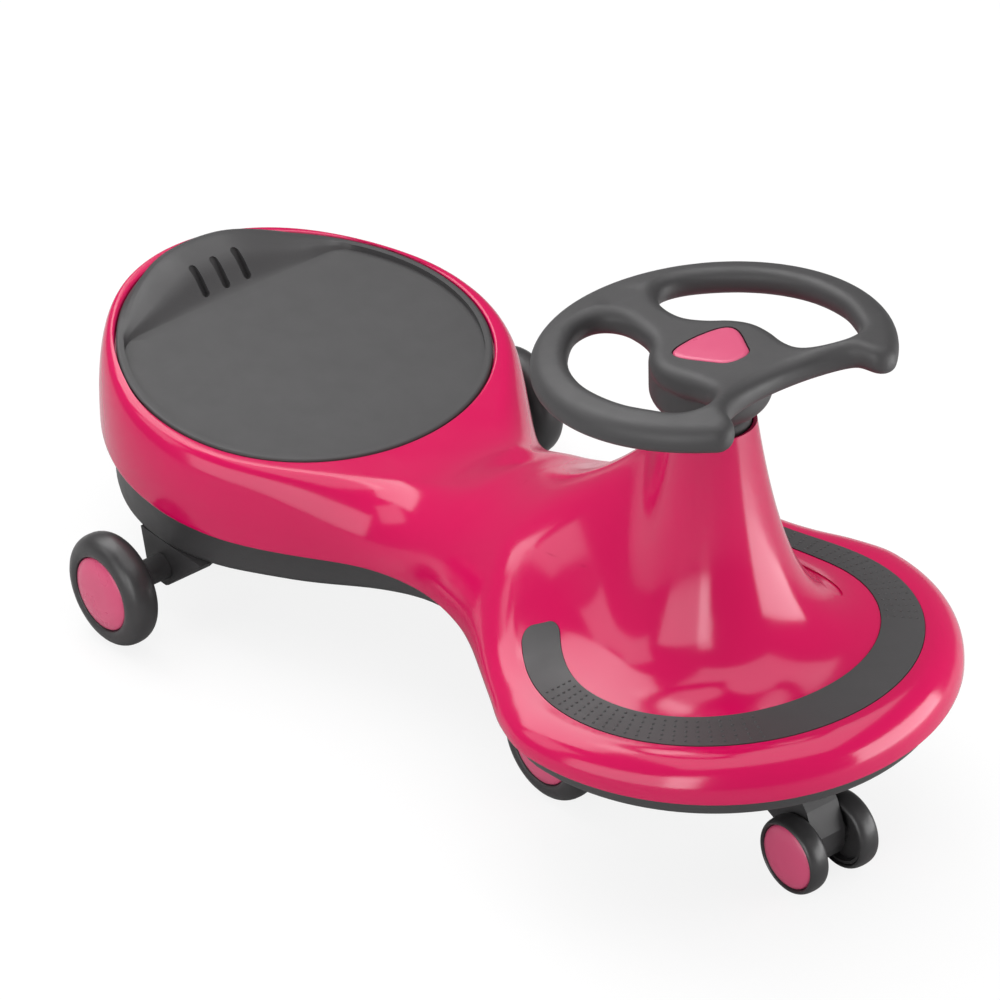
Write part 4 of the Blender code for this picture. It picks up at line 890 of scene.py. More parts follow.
def middle_triangles(loops):
    """Loose points of the shell's gentle middle, and the triangles that join them to its loops."""
    x, y = np.meshgrid(np.arange(*GRID_X, GRID_STEP), np.arange(*GRID_Y, GRID_STEP * 0.866))
    x = x + (np.arange(x.shape[0]) % 2)[:, None] * GRID_STEP / 2
    x, y = x.ravel(), y.ravel()
    keep = between(loops, x, y)
    grid = np.stack([x[keep], y[keep]], 1)
    border = np.vstack(loops)
    near = np.array([np.hypot(*(border - p).T).min() for p in grid])
    grid = grid[near > 0.6 * GRID_STEP]
    points = np.vstack([border, grid])
    found = delaunay_2d_cdt([Vector(p) for p in points], [], [], 0, 1e-9)
    corners = np.array([f for f in found[2] if len(f) == 3])
    where = np.array([tuple(v) for v in found[0]])
    mid = where[corners].mean(1)
    source = [list(group)[0] for group in found[3]]
    return grid, [[source[i] for i in f] for f in corners[between(loops, *mid.T)]]


def shell_skin(bm, inner, horn, grid, triangles):
    """One skin of the shell with its seat pan; gives its lowest ring and its ring at the mouth."""
    height = inner_height if inner else outer_height
    rings = shell_rings(inner)[1]
    heights = [height(*r.T) for r in rings]
    heights[0] = parting(rings[0][:, 0]) + SKIRT_H
    edge = [ring_at(bm, r, z) for r, z in zip(rings, heights)]
    rim = []
    rim_round = INNER_RIM_ROUND if inner else RIM_ROUND
    for grow, fall in rim_round:
        points = rim_points(grow)
        rim.append(ring_at(bm, points, height(*points.T) - fall))
    cone = [ring_at(bm, r, height(*r.T)) for r in horn]
    verts = edge[-1] + rim[-1] + cone[-1] + ring_at(bm, grid, height(*grid.T))
    for corners in triangles:
        bm.faces.new([verts[i] for i in corners])
    for group in (edge, rim, cone):
        bridge(bm, group)
    points = rim_points(rim_round[0][0])
    pan = ring_at(bm, points, seat_plane(points[:, 0]) - SEAT_PAN_DEPTH - (SHELL_T if inner else 0.0))
    bridge(bm, [rim[0], pan])
    bm.faces.new(pan)
    return edge[0], cone[0]


def shell_mesh():
    """The shell as one closed mesh: outer skin, inner skin, skirt, seat pan and mouth."""
    bm = bmesh.new()
    horn = horn_rings()
    outline, rings = shell_rings(False)
    grid, triangles = middle_triangles([rings[-1], rim_points(RIM_ROUND[-1][0]), horn[-1]])
    outer_foot, outer_mouth = shell_skin(bm, False, horn, grid, triangles)
    inner_foot, inner_mouth = shell_skin(bm, True, horn, grid, triangles)
    # the skirt's foot: small rounds outside and inside
    low = parting(outline[:, 0])
    normal = inward(outline)
    foot = [ring_at(bm, outline + normal * inset, low + lift) for inset, lift in SKIRT_ROUND]
    bridge(bm, [outer_foot] + foot + [inner_foot])
    # the horn's mouth: rounded lip and bore
    unit = horn[0] / CONE_TOP_R
    lip = [ring_at(bm, unit * radius, [z] * len(unit)) for radius, z in MOUTH_ROUND]
    bridge(bm, [outer_mouth] + lip + [inner_mouth])
    return bm


def pad_band(grow, low, high, arc_steps=150, across=8):
    """The pad's band as a closed mesh with corners rounded at both ends."""
    bm = bmesh.new()
    last = math.radians(PAD_END_DEG) - PAD_CORNER
    beyond = PAD_CORNER * np.sin(np.linspace(0, math.pi / 2, 9))[1:]
    turns = [(-last, -e) for e in beyond[::-1]]
    turns += [(a, 0.0) for a in np.linspace(-last, last, arc_steps)]
    turns += [(last, e) for e in beyond]
    columns = []
    for a, extra in turns:
        bow = math.sqrt(max(0.0, 1 - (abs(extra) / PAD_CORNER)**2)) if extra else 1.0
        # near the end the column narrows to the arc of the corner
        half = 0.5 - (0.5 - PAD_END_SHARE) * (1 - bow)
        turn = a + extra * (1 + grow / (PAD_NEAR_R * PAD_CORNER))
        stretch = 2 * half * (1 + 2 * grow / PAD_NEAR_WIDTH)
        columns.append([pad_point(turn, 0.5 + (s - 0.5) * stretch) for s in np.linspace(0, 1, across + 1)])
    xy = np.array(columns, float)
    z = outer_height(xy[..., 0], xy[..., 1])
    layers = [[ring_at(bm, column, heights + lift) for column, heights in zip(xy, z)]
              for lift in (low, high)]
    for layer in layers:
        for one, two in zip(layer, layer[1:]):
            for k in range(across):
                bm.faces.new((one[k], one[k + 1], two[k + 1], two[k]))
    border = [(i, 0) for i in range(len(xy))] + [(len(xy) - 1, k) for k in range(1, across + 1)]
    border += [(i, across) for i in range(len(xy) - 2, -1, -1)] + [(0, k) for k in range(across - 1, 0, -1)]
    bridge(bm, [[layer[i][k] for i, k in border] for layer in layers])
    return bm


def badge_tool():
    """A closed oval block whose foot and top follow the shell, for the bare recess."""
    bm = bmesh.new()
    a = round_angles(BADGE_SIDES)
    outer = []
    for lift in (-BADGE_SINK, TOOL_H):
        rings = []
        for share in (0.5, 1.0):
            x = BADGE_X + share * BADGE_HALF_LENGTH * np.cos(a)
            y = BADGE_Y + share * BADGE_HALF_WIDTH * np.sin(a)
            rings.append(ring_at(bm, zip(x, y), outer_height(x, y) + lift))
        middle = bm.verts.new((BADGE_X + COLUMN_X, BADGE_Y, float(outer_height(BADGE_X, BADGE_Y)) + lift))
        for k in range(BADGE_SIDES):
            bm.faces.new((rings[0][k], rings[0][(k + 1) % BADGE_SIDES], middle))
        bridge(bm, rings)
        outer.append(rings[1])
    bridge(bm, outer)
    return bm


class SWINGCAR_OT_body_shell(bpy.types.Operator):
    """Mould the glossy body shell with its pad recess and bare oval recess"""
    bl_idname = "swingcar.body_shell"
    bl_label = "Body shell"

    def execute(self, context):
        pink = finishes()["gloss pink polypropylene"]
        shell = new_piece("shell_moulding", shell_mesh(), pink, "car", ["body_shell"], 38.0)
        carve(shell, pad_band(PAD_GAP, -PAD_SINK, PAD_TOOL_H), 38.0)
        carve(shell, badge_tool(), 38.0)
        return {"FINISHED"}


# Grip pad

def add_dot(bm, place, radius, height):
    """One moulded dot: a low dome whose foot is sunk a little into the pad."""
    rings = []
    for share, z in [(1.0, DOT_FOOT)] + [(share, rise * height) for share, rise in DOT_SHAPE]:
        r = share * radius
        rings.append([bm.verts.new(place @ Vector((r * math.cos(a), r * math.sin(a), z)))
                      for a in round_angles(DOT_SIDES)])
    close_off(bm, rings)


def pad_dots(sizes):
    """The dots of the grip pad, in columns of five on the stretch beside each foot."""
    bm = bmesh.new()
    for first, last in DOT_FIELDS:
        along = math.radians(last - first) * PAD_MEAN_R
        columns = int(round(along / sizes.dot_pitch_along)) + 1
        for a in np.linspace(math.radians(first), math.radians(last), columns):
            for row in DOT_ROWS:
                x, y = pad_point(a, 0.5 + row * sizes.dot_pitch_across / PAD_WIDTH)
                z = float(outer_height(x, y)) + PAD_PROUD
                slope = (float(outer_height(x + MM, y)) - float(outer_height(x - MM, y))) / (2 * MM)
                up = Vector((-slope, 0, 1)).normalized().to_track_quat("Z", "Y").to_matrix().to_4x4()
                place = Matrix.Translation((x + COLUMN_X, y, z)) @ up
                add_dot(bm, place, sizes.dot_radius, sizes.dot_height)
    return bm


class SWINGCAR_OT_grip_pad(bpy.types.Operator):
    """Mould the foot grip pad with its fields of dots"""
    bl_idname = "swingcar.grip_pad"
    bl_label = "Foot grip pad"

    def execute(self, context):
        grey = finishes()["grained grey polypropylene"]
        bm = pad_band(0.0, PAD_UNDER_GAP - PAD_SINK, PAD_PROUD, 260, 16)
        edges = [e for e in bm.edges
                 if len(e.link_faces) == 2 and e.calc_face_angle(0.0) > math.radians(50)]
        bmesh.ops.recalc_face_normals(bm, faces=bm.faces)
        tops = [e for e in edges if max(f.normal.z for f in e.link_faces) > 0.5]
        bmesh.ops.bevel(bm, geom=tops, offset=PAD_BEVEL, segments=2, profile=0.5, affect="EDGES")
        new_piece("grip_pad_moulding", bm, grey, "car", ["foot_grip_pad"], 40.0)
        dots = pad_dots(context.scene.swing_car_sizes)
        new_piece("grip_pad_dots", dots, grey, "car", (), 60.0)
        return {"FINISHED"}


# Seat plate

def seat_mesh():
    """The seat plate as rings round its middle: floor, ramp up to the lip, rim and underside."""
    xo, yo = seat_rim(round_angles(SEAT_SPOKES), -SEAT_GAP)
    reach = np.hypot(xo - SEAT_X, yo)
    ux, uy = (xo - SEAT_X) / reach, yo / reach
    step_r = reach - SEAT_BORDER
    straight_r = (SEAT_FOOT_X - SEAT_X) / np.minimum(ux, -0.05)
    foot_r = np.where(ux < -0.05, np.minimum(step_r, straight_r), step_r)
    # soften the corner where the ramp's straight foot meets the round wall
    for _ in range(6):
        foot_r = np.minimum(foot_r, (np.roll(foot_r, 1) + 2 * foot_r + np.roll(foot_r, -1)) / 4)
    lip = LIP_CREST_H * (1 - smoothstep(LIP_LEVEL_SHARE * LIP_HALF_SPAN, LIP_HALF_SPAN, np.abs(yo)))
    lip = lip * (xo < SEAT_X)
    # a short way up beside the seat has a plain upright wall
    steep = np.minimum(1.0, (step_r - foot_r) / UPRIGHT_RUN)
    # each ring's distance from the middle, and its height over the plane of the rim
    levels = [(foot_r * share, -SEAT_FLOOR_DROP) for share in (0.25, 0.5, 0.75, 0.9)]
    walls = [(share, wall) for share, wall, _ in LIP_SHAPE]
    crests = [(share, crest) for share, _, crest in LIP_SHAPE]
    for share in np.linspace(0, 1, 29):
        wall = share + (float(hermite(walls, share)) - share) * steep
        rise = SEAT_PROUD * wall - SEAT_FLOOR_DROP * (1 - wall)
        levels.append((foot_r + (step_r - foot_r) * share, rise + lip * float(hermite(crests, share))))
    for back, crest in LIP_BACK:
        fall = SEAT_EDGE_DROP * (1 - min(1.0, back / SEAT_EDGE_R))**2
        levels.append((reach - back, SEAT_PROUD - fall + lip * crest))
    levels.append((reach, SEAT_UNDER_GAP - SEAT_PAN_DEPTH))
    bm = bmesh.new()
    rings = []
    for r, rise in levels:
        points = np.stack([SEAT_X + ux * r, uy * r], 1)
        rings.append(ring_at(bm, points, seat_plane(points[:, 0]) + rise))
    close_off(bm, rings)
    return bm


def slot_tool():
    """Three leaning slots side by side, for cutting into the ramp of the lip."""
    lean = math.radians(SLOT_LEAN_DEG)
    half_run = 0.5 * (SLOT_FRONT_X - SLOT_REAR_X) / math.cos(lean)
    outline = []
    for end in (1, -1):
        for a in np.linspace(-math.pi / 2, math.pi / 2, 9):
            outline.append((end * (half_run + SLOT_HALF_WIDTH * math.cos(a)),
                            end * SLOT_HALF_WIDTH * math.sin(a)))
    middle = (SLOT_FRONT_X + SLOT_REAR_X) / 2
    bm = bmesh.new()
    for y in (-SLOT_PITCH, 0.0, SLOT_PITCH):
        before = set(bm.verts)
        prism(bm, outline, SLOT_LOW, SLOT_HIGH)
        place = Matrix.Translation((middle + COLUMN_X, y, float(seat_plane(middle)) + SLOT_LIFT))
        bmesh.ops.transform(bm, matrix=place @ Matrix.Rotation(lean, 4, "Y"),
                            verts=[v for v in bm.verts if v not in before])
    return bm


class SWINGCAR_OT_seat_plate(bpy.types.Operator):
    """Mould the grey seat plate with its rear lip and three slots"""
    bl_idname = "swingcar.seat_plate"
    bl_label = "Seat plate"

    def execute(self, context):
        grey = finishes()["grained grey polypropylene"]
        seat = new_piece("seat_moulding", seat_mesh(), grey, "car", ["seat_plate"], 42.0)
        carve(seat, slot_tool(), 42.0)
        return {"FINISHED"}


# Under-tray

def tray_floor(x):
    """Height of the tray's underside."""
    return TRAY_Z_LOBE + (TRAY_Z_DECK - TRAY_Z_LOBE) * smoothstep(*TRAY_BLEND, x)


def tray_mesh():
    """The tray as rings in from the shell's outline, outside and inside, with strips across its floor."""
    outline, half_count = closed_outline((30, 24, 24, 36))
    total = len(outline)
    normal = inward(outline)
    wall = TRAY_INSET + TRAY_STEP
    # how far in a ring is, the surface that it follows, and its lift over that
    outside = ((TRAY_INSET, parting, TRAY_LIP_H), (TRAY_INSET, parting, 0.0010),
               (TRAY_INSET + 0.0004, parting, 0.0006), (wall - 0.0004, parting, 0.0003),
               (wall, parting, -0.0002), (wall + 0.0012, tray_floor, 0.0060),
               (wall + 0.0017, tray_floor, 0.0036), (wall + 0.0028, tray_floor, 0.0017),
               (wall + 0.0044, tray_floor, 0.0005), (wall + 0.0062, tray_floor, 0.0))
    within = ((TRAY_INSET + TRAY_T, parting, TRAY_LIP_H), (wall + TRAY_T, parting, -0.0010),
              (wall + 0.0012 + TRAY_T, tray_floor, 0.0060), (wall + 0.0062 + TRAY_T, tray_floor, TRAY_T))
    bm = bmesh.new()
    tops = []
    for stations in (outside, within):
        rings = []
        for inset, surface, lift in stations:
            points = outline + normal * inset
            rings.append(ring_at(bm, points, surface(points[:, 0]) + lift))
        bridge(bm, rings)
        last = rings[-1]
        bm.faces.new((last[0], last[1], last[total - 1]))
        for i in range(1, half_count - 2):
            bm.faces.new((last[i], last[i + 1], last[total - i - 1], last[total - i]))
        bm.faces.new((last[half_count - 2], last[half_count - 1], last[half_count]))
        tops.append(rings[0])
    bridge(bm, tops)
    return bm


def leg_tool():
    """Both legs for the rear axle and the boss for the column, for joining on."""
    bm = bmesh.new()
    for side in (1, -1):
        lo, hi = sorted((side * LEG_IN_Y, side * LEG_OUT_Y))
        prism(bm, [(REAR_X + COLUMN_X + x, z) for x, z in LEG_PROFILE], lo, hi, axis="Y")
    cylinder(bm, BOSS_R, (COLUMN_X, 0, BOSS_Z[0]), (COLUMN_X, 0, BOSS_Z[1]))
    return bm


def bore_tool():
    """The pockets in the legs, the rear axle's bore and the column's bore, for cutting."""
    bm = bmesh.new()
    axle_x = REAR_X + COLUMN_X
    for side in (1, -1):
        lo, hi = sorted((side * (LEG_IN_Y - POCKET_PAST), side * (LEG_OUT_Y - POCKET_WALL)))
        prism(bm, [(axle_x + x, z) for x, z in POCKET_PROFILE], lo, hi, axis="Y")
    cylinder(bm, AXLE_R + FIT_GAP, (axle_x, -AXLE_BORE_Y, WHEEL_R), (axle_x, AXLE_BORE_Y, WHEEL_R), 32)
    cylinder(bm, BOSS_BORE_R, (COLUMN_X, 0, BOSS_BORE_Z[0]), (COLUMN_X, 0, BOSS_BORE_Z[1]), 40)
    return bm


class SWINGCAR_OT_under_tray(bpy.types.Operator):
    """Mould the dark under-tray with its rear axle legs"""
    bl_idname = "swingcar.under_tray"
    bl_label = "Under-tray"

    def execute(self, context):
        dark = finishes()["matt dark polypropylene"]
        tray = new_piece("tray_moulding", tray_mesh(), dark, "car", ["under_tray"], 40.0)
        carve(tray, leg_tool(), 40.0, "UNION")
        carve(tray, bore_tool(), 40.0)
        return {"FINISHED"}


# Steering wheel and its centre cap

def plate_room(points, normals, others):
    """How far the rounding may reach in from each point, on the way to the facing edge."""
    room = []
    for p, n in zip(points, normals):
        to = others - p
        reach = np.linalg.norm(to, axis=1)
        ahead = (to @ n > 0.6 * reach) & (reach > 1e-6)
        # a little less than half of the way, so that two roundings never meet
        room.append(0.46 * reach[ahead].min())
    room = np.minimum(np.array(room), STEER_EDGE)
    for _ in range(12):
        room = np.minimum(room, (np.roll(room, 1) + 2 * room + np.roll(room, -1)) / 4)
    return room


def rounded_plate(loops, degs):
    """A flat plan with holes, fully rounded along every edge, about z = 0."""
    bm = bmesh.new()
    everything = np.vstack(loops)
    caps = {1: [], -1: []}
    for number, points in enumerate(loops):
        normals = inward(points) * (1 if number == 0 else -1)
        room = plate_room(points, normals, everything)
        rings = []
        for up, order in ((-1, degs[::-1]), (1, degs)):
            for deg in order:
                t = math.radians(deg)
                at = points + normals * (room * (1 - math.cos(t)))[:, None]
                z = up * (STEER_FLAT / 2 + STEER_EDGE * math.sin(t))
                rings.append([bm.verts.new((x, y, z)) for x, y in at])
        bridge(bm, rings)
        caps[-1].append(rings[0])
        caps[1].append(rings[-1])
    for ends in caps.values():
        edges = []
        for ring in ends:
            for i, v in enumerate(ring):
                edges.append(bm.edges.get((v, ring[(i + 1) % len(ring)])))
        bmesh.ops.triangle_fill(bm, use_beauty=True, edges=edges)
    return bm


def steering_plan():
    """The wheel's outline: front edge, left tip, rim round the back, right tip."""
    turn = math.radians(TIP_DEG)
    tip_r = TIP_SHARE * STEER_R
    tip = ((STEER_R - tip_r) * math.cos(turn), (STEER_R - tip_r) * math.sin(turn))
    left = [(x * STEER_R, y * STEER_R) for x, y in FRONT_EDGE]
    last = left[-1]
    reach = math.hypot(tip[0] - last[0], tip[1] - last[1])
    leave = math.atan2(tip[1] - last[1], tip[0] - last[0]) - math.asin(tip_r / reach) - math.pi / 2
    for a in np.linspace(leave, turn, 8):
        left.append((tip[0] + tip_r * math.cos(a), tip[1] + tip_r * math.sin(a)))
    loop = list(left)
    for a in np.linspace(turn, 2 * math.pi - turn, 60)[1:-1]:
        loop.append((STEER_R * math.cos(a), STEER_R * math.sin(a)))
    loop += [(x, -y) for x, y in reversed(left[1:])]
    return resample(loop, 220)


def cap_plan():
    """The centre cap's outline on the wheel."""
    return resample(np.array(CAP_LOOP) * STEER_R, 90)


def steering_place():
    """The matrix from the wheel's own plane to its leaning place on the column."""
    return Matrix.Translation((COLUMN_X, 0, STEER_Z)) @ Matrix.Rotation(math.radians(-STEER_TILT), 4, "Y")


def steering_blank():
    """The wheel as one rounded plate with two openings, bent into its dish."""
    hole = resample(np.array(OPENING) * STEER_R, 110)
    bm = rounded_plate([steering_plan(), hole, hole[::-1] * (1, -1)], (0, 15, 30, 45, 60, 75, 90))
    for v in bm.verts:
        share = math.hypot(v.co.x, v.co.y) / STEER_R
        # the arms dip towards the hub, and the rim's section leans
        lean = min(1.0, max(-1.0, (share - STEER_LEAN_AT) / STEER_LEAN_RUN))
        v.co.z -= STEER_DISH * (1 - float(smoothstep(*STEER_DISH_BLEND, share)))
        v.co.z -= STEER_LEAN * lean * min(1.0, share / STEER_LEAN_FROM)
    bmesh.ops.transform(bm, matrix=steering_place(), verts=bm.verts)
    return bm


def hub_blank():
    """The neck and the hub under the wheel, for joining on."""
    bm = bmesh.new()
    rings = []
    for radius, z, shift in HUB_PROFILE:
        rings.append([bm.verts.new((COLUMN_X + shift + radius * math.cos(a), radius * math.sin(a), z))
                      for a in round_angles(WHEEL_SPOKES)])
    close_off(bm, rings)
    return bm


def shaft_tool():
    """The shaft's bore and the room for its nut, for cutting."""
    bm = bmesh.new()
    cylinder(bm, SHAFT_R + FIT_GAP, (COLUMN_X, 0, SHAFT_BORE_LOW), (COLUMN_X, 0, SHAFT_TOP + 0.0005))
    cylinder(bm, NUT_ROOM_R, (COLUMN_X, 0, SHAFT_TOP - NUT_ROOM_H), (COLUMN_X, 0, STEER_Z + 0.0015))
    return bm


def cap_pocket_tool():
    """The pocket that the centre cap sits in, for cutting."""
    bm = bmesh.new()
    loop = cap_plan()
    prism(bm, loop - inward(loop) * CAP_POCKET_GAP, *CAP_POCKET_Z)
    bmesh.ops.transform(bm, matrix=steering_place(), verts=bm.verts)
    return bm


class SWINGCAR_OT_steering_wheel(bpy.types.Operator):
    """Mould the steering wheel: rounded rim, arms, hub and neck with soft fillets"""
    bl_idname = "swingcar.steering_wheel"
    bl_label = "Steering wheel"

    def execute(self, context):
        grey = finishes()["grained grey polypropylene"]
        wheel = new_piece("steering_wheel_moulding", steering_blank(), grey, "steering",
                          ["steering_wheel"], 80.0)
        carve(wheel, hub_blank(), 80.0, "UNION")
        # one even skin, then smoothed: the fillets where arms and hub meet
        remesh = wheel.modifiers.new("skin", "REMESH")
        remesh.mode = "VOXEL"
        remesh.voxel_size = SKIN_VOXEL
        soft = wheel.modifiers.new("fillets", "SMOOTH")
        soft.factor = 0.5
        soft.iterations = FILLET_ROUNDS
        bake_modifiers(wheel, 80.0)
        carve(wheel, shaft_tool(), 60.0)
        carve(wheel, cap_pocket_tool(), 60.0)
        return {"FINISHED"}


class SWINGCAR_OT_centre_cap(bpy.types.Operator):
    """Mould the soft triangular cap in the middle of the steering wheel"""
    bl_idname = "swingcar.centre_cap"
    bl_label = "Centre cap"

    def execute(self, context):
        pink = finishes()["satin pink polypropylene"]
        loop = cap_plan()
        normal = inward(loop)
        bm = bmesh.new()
        close_off(bm, [[bm.verts.new((x, y, z)) for x, y in loop + normal * inset]
                       for inset, z in CAP_ROUND])
        bmesh.ops.transform(bm, matrix=steering_place(), verts=bm.verts)
        new_piece("centre_cap_moulding", bm, pink, "steering", ["wheel_centre_cap"], 50.0)
        return {"FINISHED"}


# Road wheels

def tyre_profile(radius, half, bore):
    """Closed section (radius, outward y): rounded tread with a moulded shoulder line."""
    pts = [(bore, -half * 0.90)]
    for a in np.linspace(-math.pi / 2, math.pi / 2, 21)[1:-1]:
        c = math.cos(a)**TREAD_POWER
        s = math.copysign(abs(math.sin(a))**TREAD_POWER, math.sin(a))
        pts.append((bore + (radius - bore) * c, half * s))
    pts.append((bore + 0.0004, half * 0.93))
    pts.append((bore, half * 0.90))
    return pts


def cap_profile(half, cap_r):
    """Section (radius, outward y) of a wheel cap: a short wall under a low dome."""
    rim = cap_r - CAP_GAP
    lip = half * 0.30 + FIT_GAP
    dome = CAP_DOME * cap_r / CAP_R
    return [(rim - CAP_WALL, half - 0.0030), (rim - CAP_WALL, lip), (rim, lip), (rim, half - 0.0024),
            (rim - 0.0004, half - 0.0017), (rim * 0.955, half - dome * 0.50),
            (rim * 0.88, half - dome * 0.05), (rim * 0.78, half + dome * 0.38),
            (rim * 0.62, half + dome * 0.74), (rim * 0.40, half + dome * 0.96), (0.0008, half + dome)]


def spacer_profile(start, half):
    """Closed section (radius, outward y) of the tube between the leg or yoke and a wheel's core."""
    ends = (start + FIT_GAP, -half * CORE_SHARE - FIT_GAP)
    return [(AXLE_R + FIT_GAP, ends[0]), (AXLE_R + SPACER_WALL, ends[0]), (AXLE_R + SPACER_WALL, ends[1]),
            (AXLE_R + FIT_GAP, ends[1])]


class SWINGCAR_OT_road_wheels(bpy.types.Operator):
    """Cast the tyres and mould the caps and spacers of all road wheels"""
    bl_idname = "swingcar.road_wheels"
    bl_label = "Road wheels"

    def execute(self, context):
        made = finishes()
        dark = made["matt dark polypropylene"]
        # kind, axle's X, outer face's Y, axle's height, radius, half width, cap's radius, and
        # where there is a spacer, the Y that it starts from and the body that it rides on
        kinds = (("rear_wheel_", REAR_X, REAR_FACE_Y, WHEEL_R, WHEEL_R, WHEEL_HALF_W, CAP_R,
                  (LEG_OUT_Y, "car")),
                 ("yoke_wheel_", YOKE_WHEEL_X, YOKE_FACE_Y, WHEEL_R, WHEEL_R, WHEEL_HALF_W, CAP_R,
                  (YOKE_OUT_Y, "steering")),
                 ("nose_wheel_", NOSE_X, NOSE_FACE_Y, NOSE_Z, NOSE_R, NOSE_HALF_W, NOSE_CAP_R, None))
        for kind, x, face_y, z, radius, half, cap_r, spacer in kinds:
            for label, side in (("left", 1), ("right", -1)):
                name = kind + label
                centre = (x + COLUMN_X, side * (face_y - half), z)
                tyre = turned(tyre_profile(radius, half, cap_r + CAP_GAP), centre, side, WHEEL_SPOKES)
                new_piece(name + "_tread", tyre, made["charcoal polyurethane"], name,
                          [name + "_tyre"], 60.0)
                cap = turned(cap_profile(half, cap_r), centre, side, WHEEL_SPOKES, closed=False)
                new_piece(name + "_hub_cap", cap, made["satin pink polypropylene"], name,
                          [name + "_cap"], 50.0)
                finish_node(name + "_core", dark)
                # the spacer takes the tray's dark grey as painted shade: it fills the shaded gap between
                # leg or yoke and wheel
                if spacer:
                    from_y, body = spacer
                    tube = turned(spacer_profile(from_y - (face_y - half), half), centre, side, 32)
                    new_piece(name + "_spacer_tube_painted_shade", tube, dark, body,
                              [name + "_spacer"], 50.0)
        return {"FINISHED"}


class SWINGCAR_OT_running_gear(bpy.types.Operator):
    """Finish the yoke, the axles, the column and their fittings"""
    bl_idname = "swingcar.running_gear"
    bl_label = "Running gear"

    def execute(self, context):
        made = finishes()
        yoke = finish_node("front_yoke", made["matt dark polypropylene"])
        soften = yoke.modifiers.new("moulded edges", "BEVEL")
        soften.width = 0.6 * MM
        soften.segments = 2
        soften.limit_method = "ANGLE"
        soften.angle_limit = math.radians(40)
        steel = ["steering_shaft", "steering_nut", "thrust_washer", "yoke_nut", "yoke_axle", "nose_axle",
                 "rear_axle"]
        for label in ("left", "right"):
            for kind in ("rear_wheel_", "yoke_wheel_", "nose_wheel_"):
                steel.append(kind + label + "_nut")
        for name in steel:
            finish_node(name, made["zinc plated steel"])
        for name in ("upper_column_bush", "lower_column_bush"):
            finish_node(name, made["natural nylon"])
        return {"FINISHED"}


# Stage

def floor_paper(colour):
    """White paper with faint shadows to the camera; to other rays a grey that throws back less light."""
    mat = new_finish("white paper")
    tree = mat.node_tree
    ray = add_node(tree, "ShaderNodeLightPath")
    paper = add_node(tree, "ShaderNodeBsdfDiffuse", {"Color": tuple(colour)})
    bounce = add_node(tree, "ShaderNodeBsdfDiffuse", {"Color": (*[FLOOR_BOUNCE] * 3, 1.0)})
    glow = add_node(tree, "ShaderNodeEmission", {"Color": tuple(colour), "Strength": 1.0})
    share = add_node(tree, "ShaderNodeMath", {0: ray.outputs["Is Camera Ray"], 1: PAPER_GLOW},
                     operation="MULTIPLY")
    seen = add_node(tree, "ShaderNodeMixShader", {0: share.outputs[0], 1: paper.outputs[0],
                                                  2: glow.outputs[0]})
    mixed = add_node(tree, "ShaderNodeMixShader", {0: ray.outputs["Is Camera Ray"], 1: bounce.outputs[0],
                                                   2: seen.outputs[0]})
    add_node(tree, "ShaderNodeOutputMaterial", {"Surface": mixed.outputs[0]})
    return mat


def add_floor(colour):
    """A large flat sheet just under the wheels."""
    bm = bmesh.new()
    bmesh.ops.create_grid(bm, x_segments=1, y_segments=1, size=FLOOR_HALF)
    mesh = bpy.data.meshes.new("floor")
    bm.to_mesh(mesh)
    bm.free()
    mesh.materials.append(floor_paper(colour))
    floor = bpy.data.objects.new("floor", mesh)
    floor.location = (0.0, 0.0, -FLOOR_DROP)
    bpy.context.scene.collection.objects.link(floor)


def add_room(strength):
    """A world that is white to the camera and lights the car evenly and weakly."""
    world = bpy.data.worlds.new("studio room")
    bpy.context.scene.world = world
    world.use_nodes = True
    tree = world.node_tree
    tree.nodes.clear()
    ray = add_node(tree, "ShaderNodeLightPath")
    even = add_node(tree, "ShaderNodeBackground", {"Color": (1.0, 1.0, 1.0, 1.0), "Strength": strength})
    white = add_node(tree, "ShaderNodeBackground", {"Color": (1.0, 1.0, 1.0, 1.0), "Strength": 1.0})
    mixed = add_node(tree, "ShaderNodeMixShader", {0: ray.outputs["Is Camera Ray"], 1: even.outputs[0],
                                                   2: white.outputs[0]})
    add_node(tree, "ShaderNodeOutputWorld", {"Surface": mixed.outputs[0]})


def add_softbox(name, around, above, distance, width, height, brightness):
    """A softbox that looks at the car; its power follows from its area and brightness."""
    a, e = math.radians(around), math.radians(above)
    way = Vector((math.cos(a) * math.cos(e), math.sin(a) * math.cos(e), math.sin(e)))
    lamp = bpy.data.lights.new(name, "AREA")
    lamp.shape = "RECTANGLE"
    lamp.size = width
    lamp.size_y = height
    lamp.energy = brightness * math.pi * width * height
    softbox = bpy.data.objects.new(name, lamp)
    bpy.context.scene.collection.objects.link(softbox)
    softbox.location = Vector(LAMP_AIM) + way * distance
    softbox.rotation_mode = "QUATERNION"
    softbox.rotation_quaternion = (-way).to_track_quat("-Z", "Y")


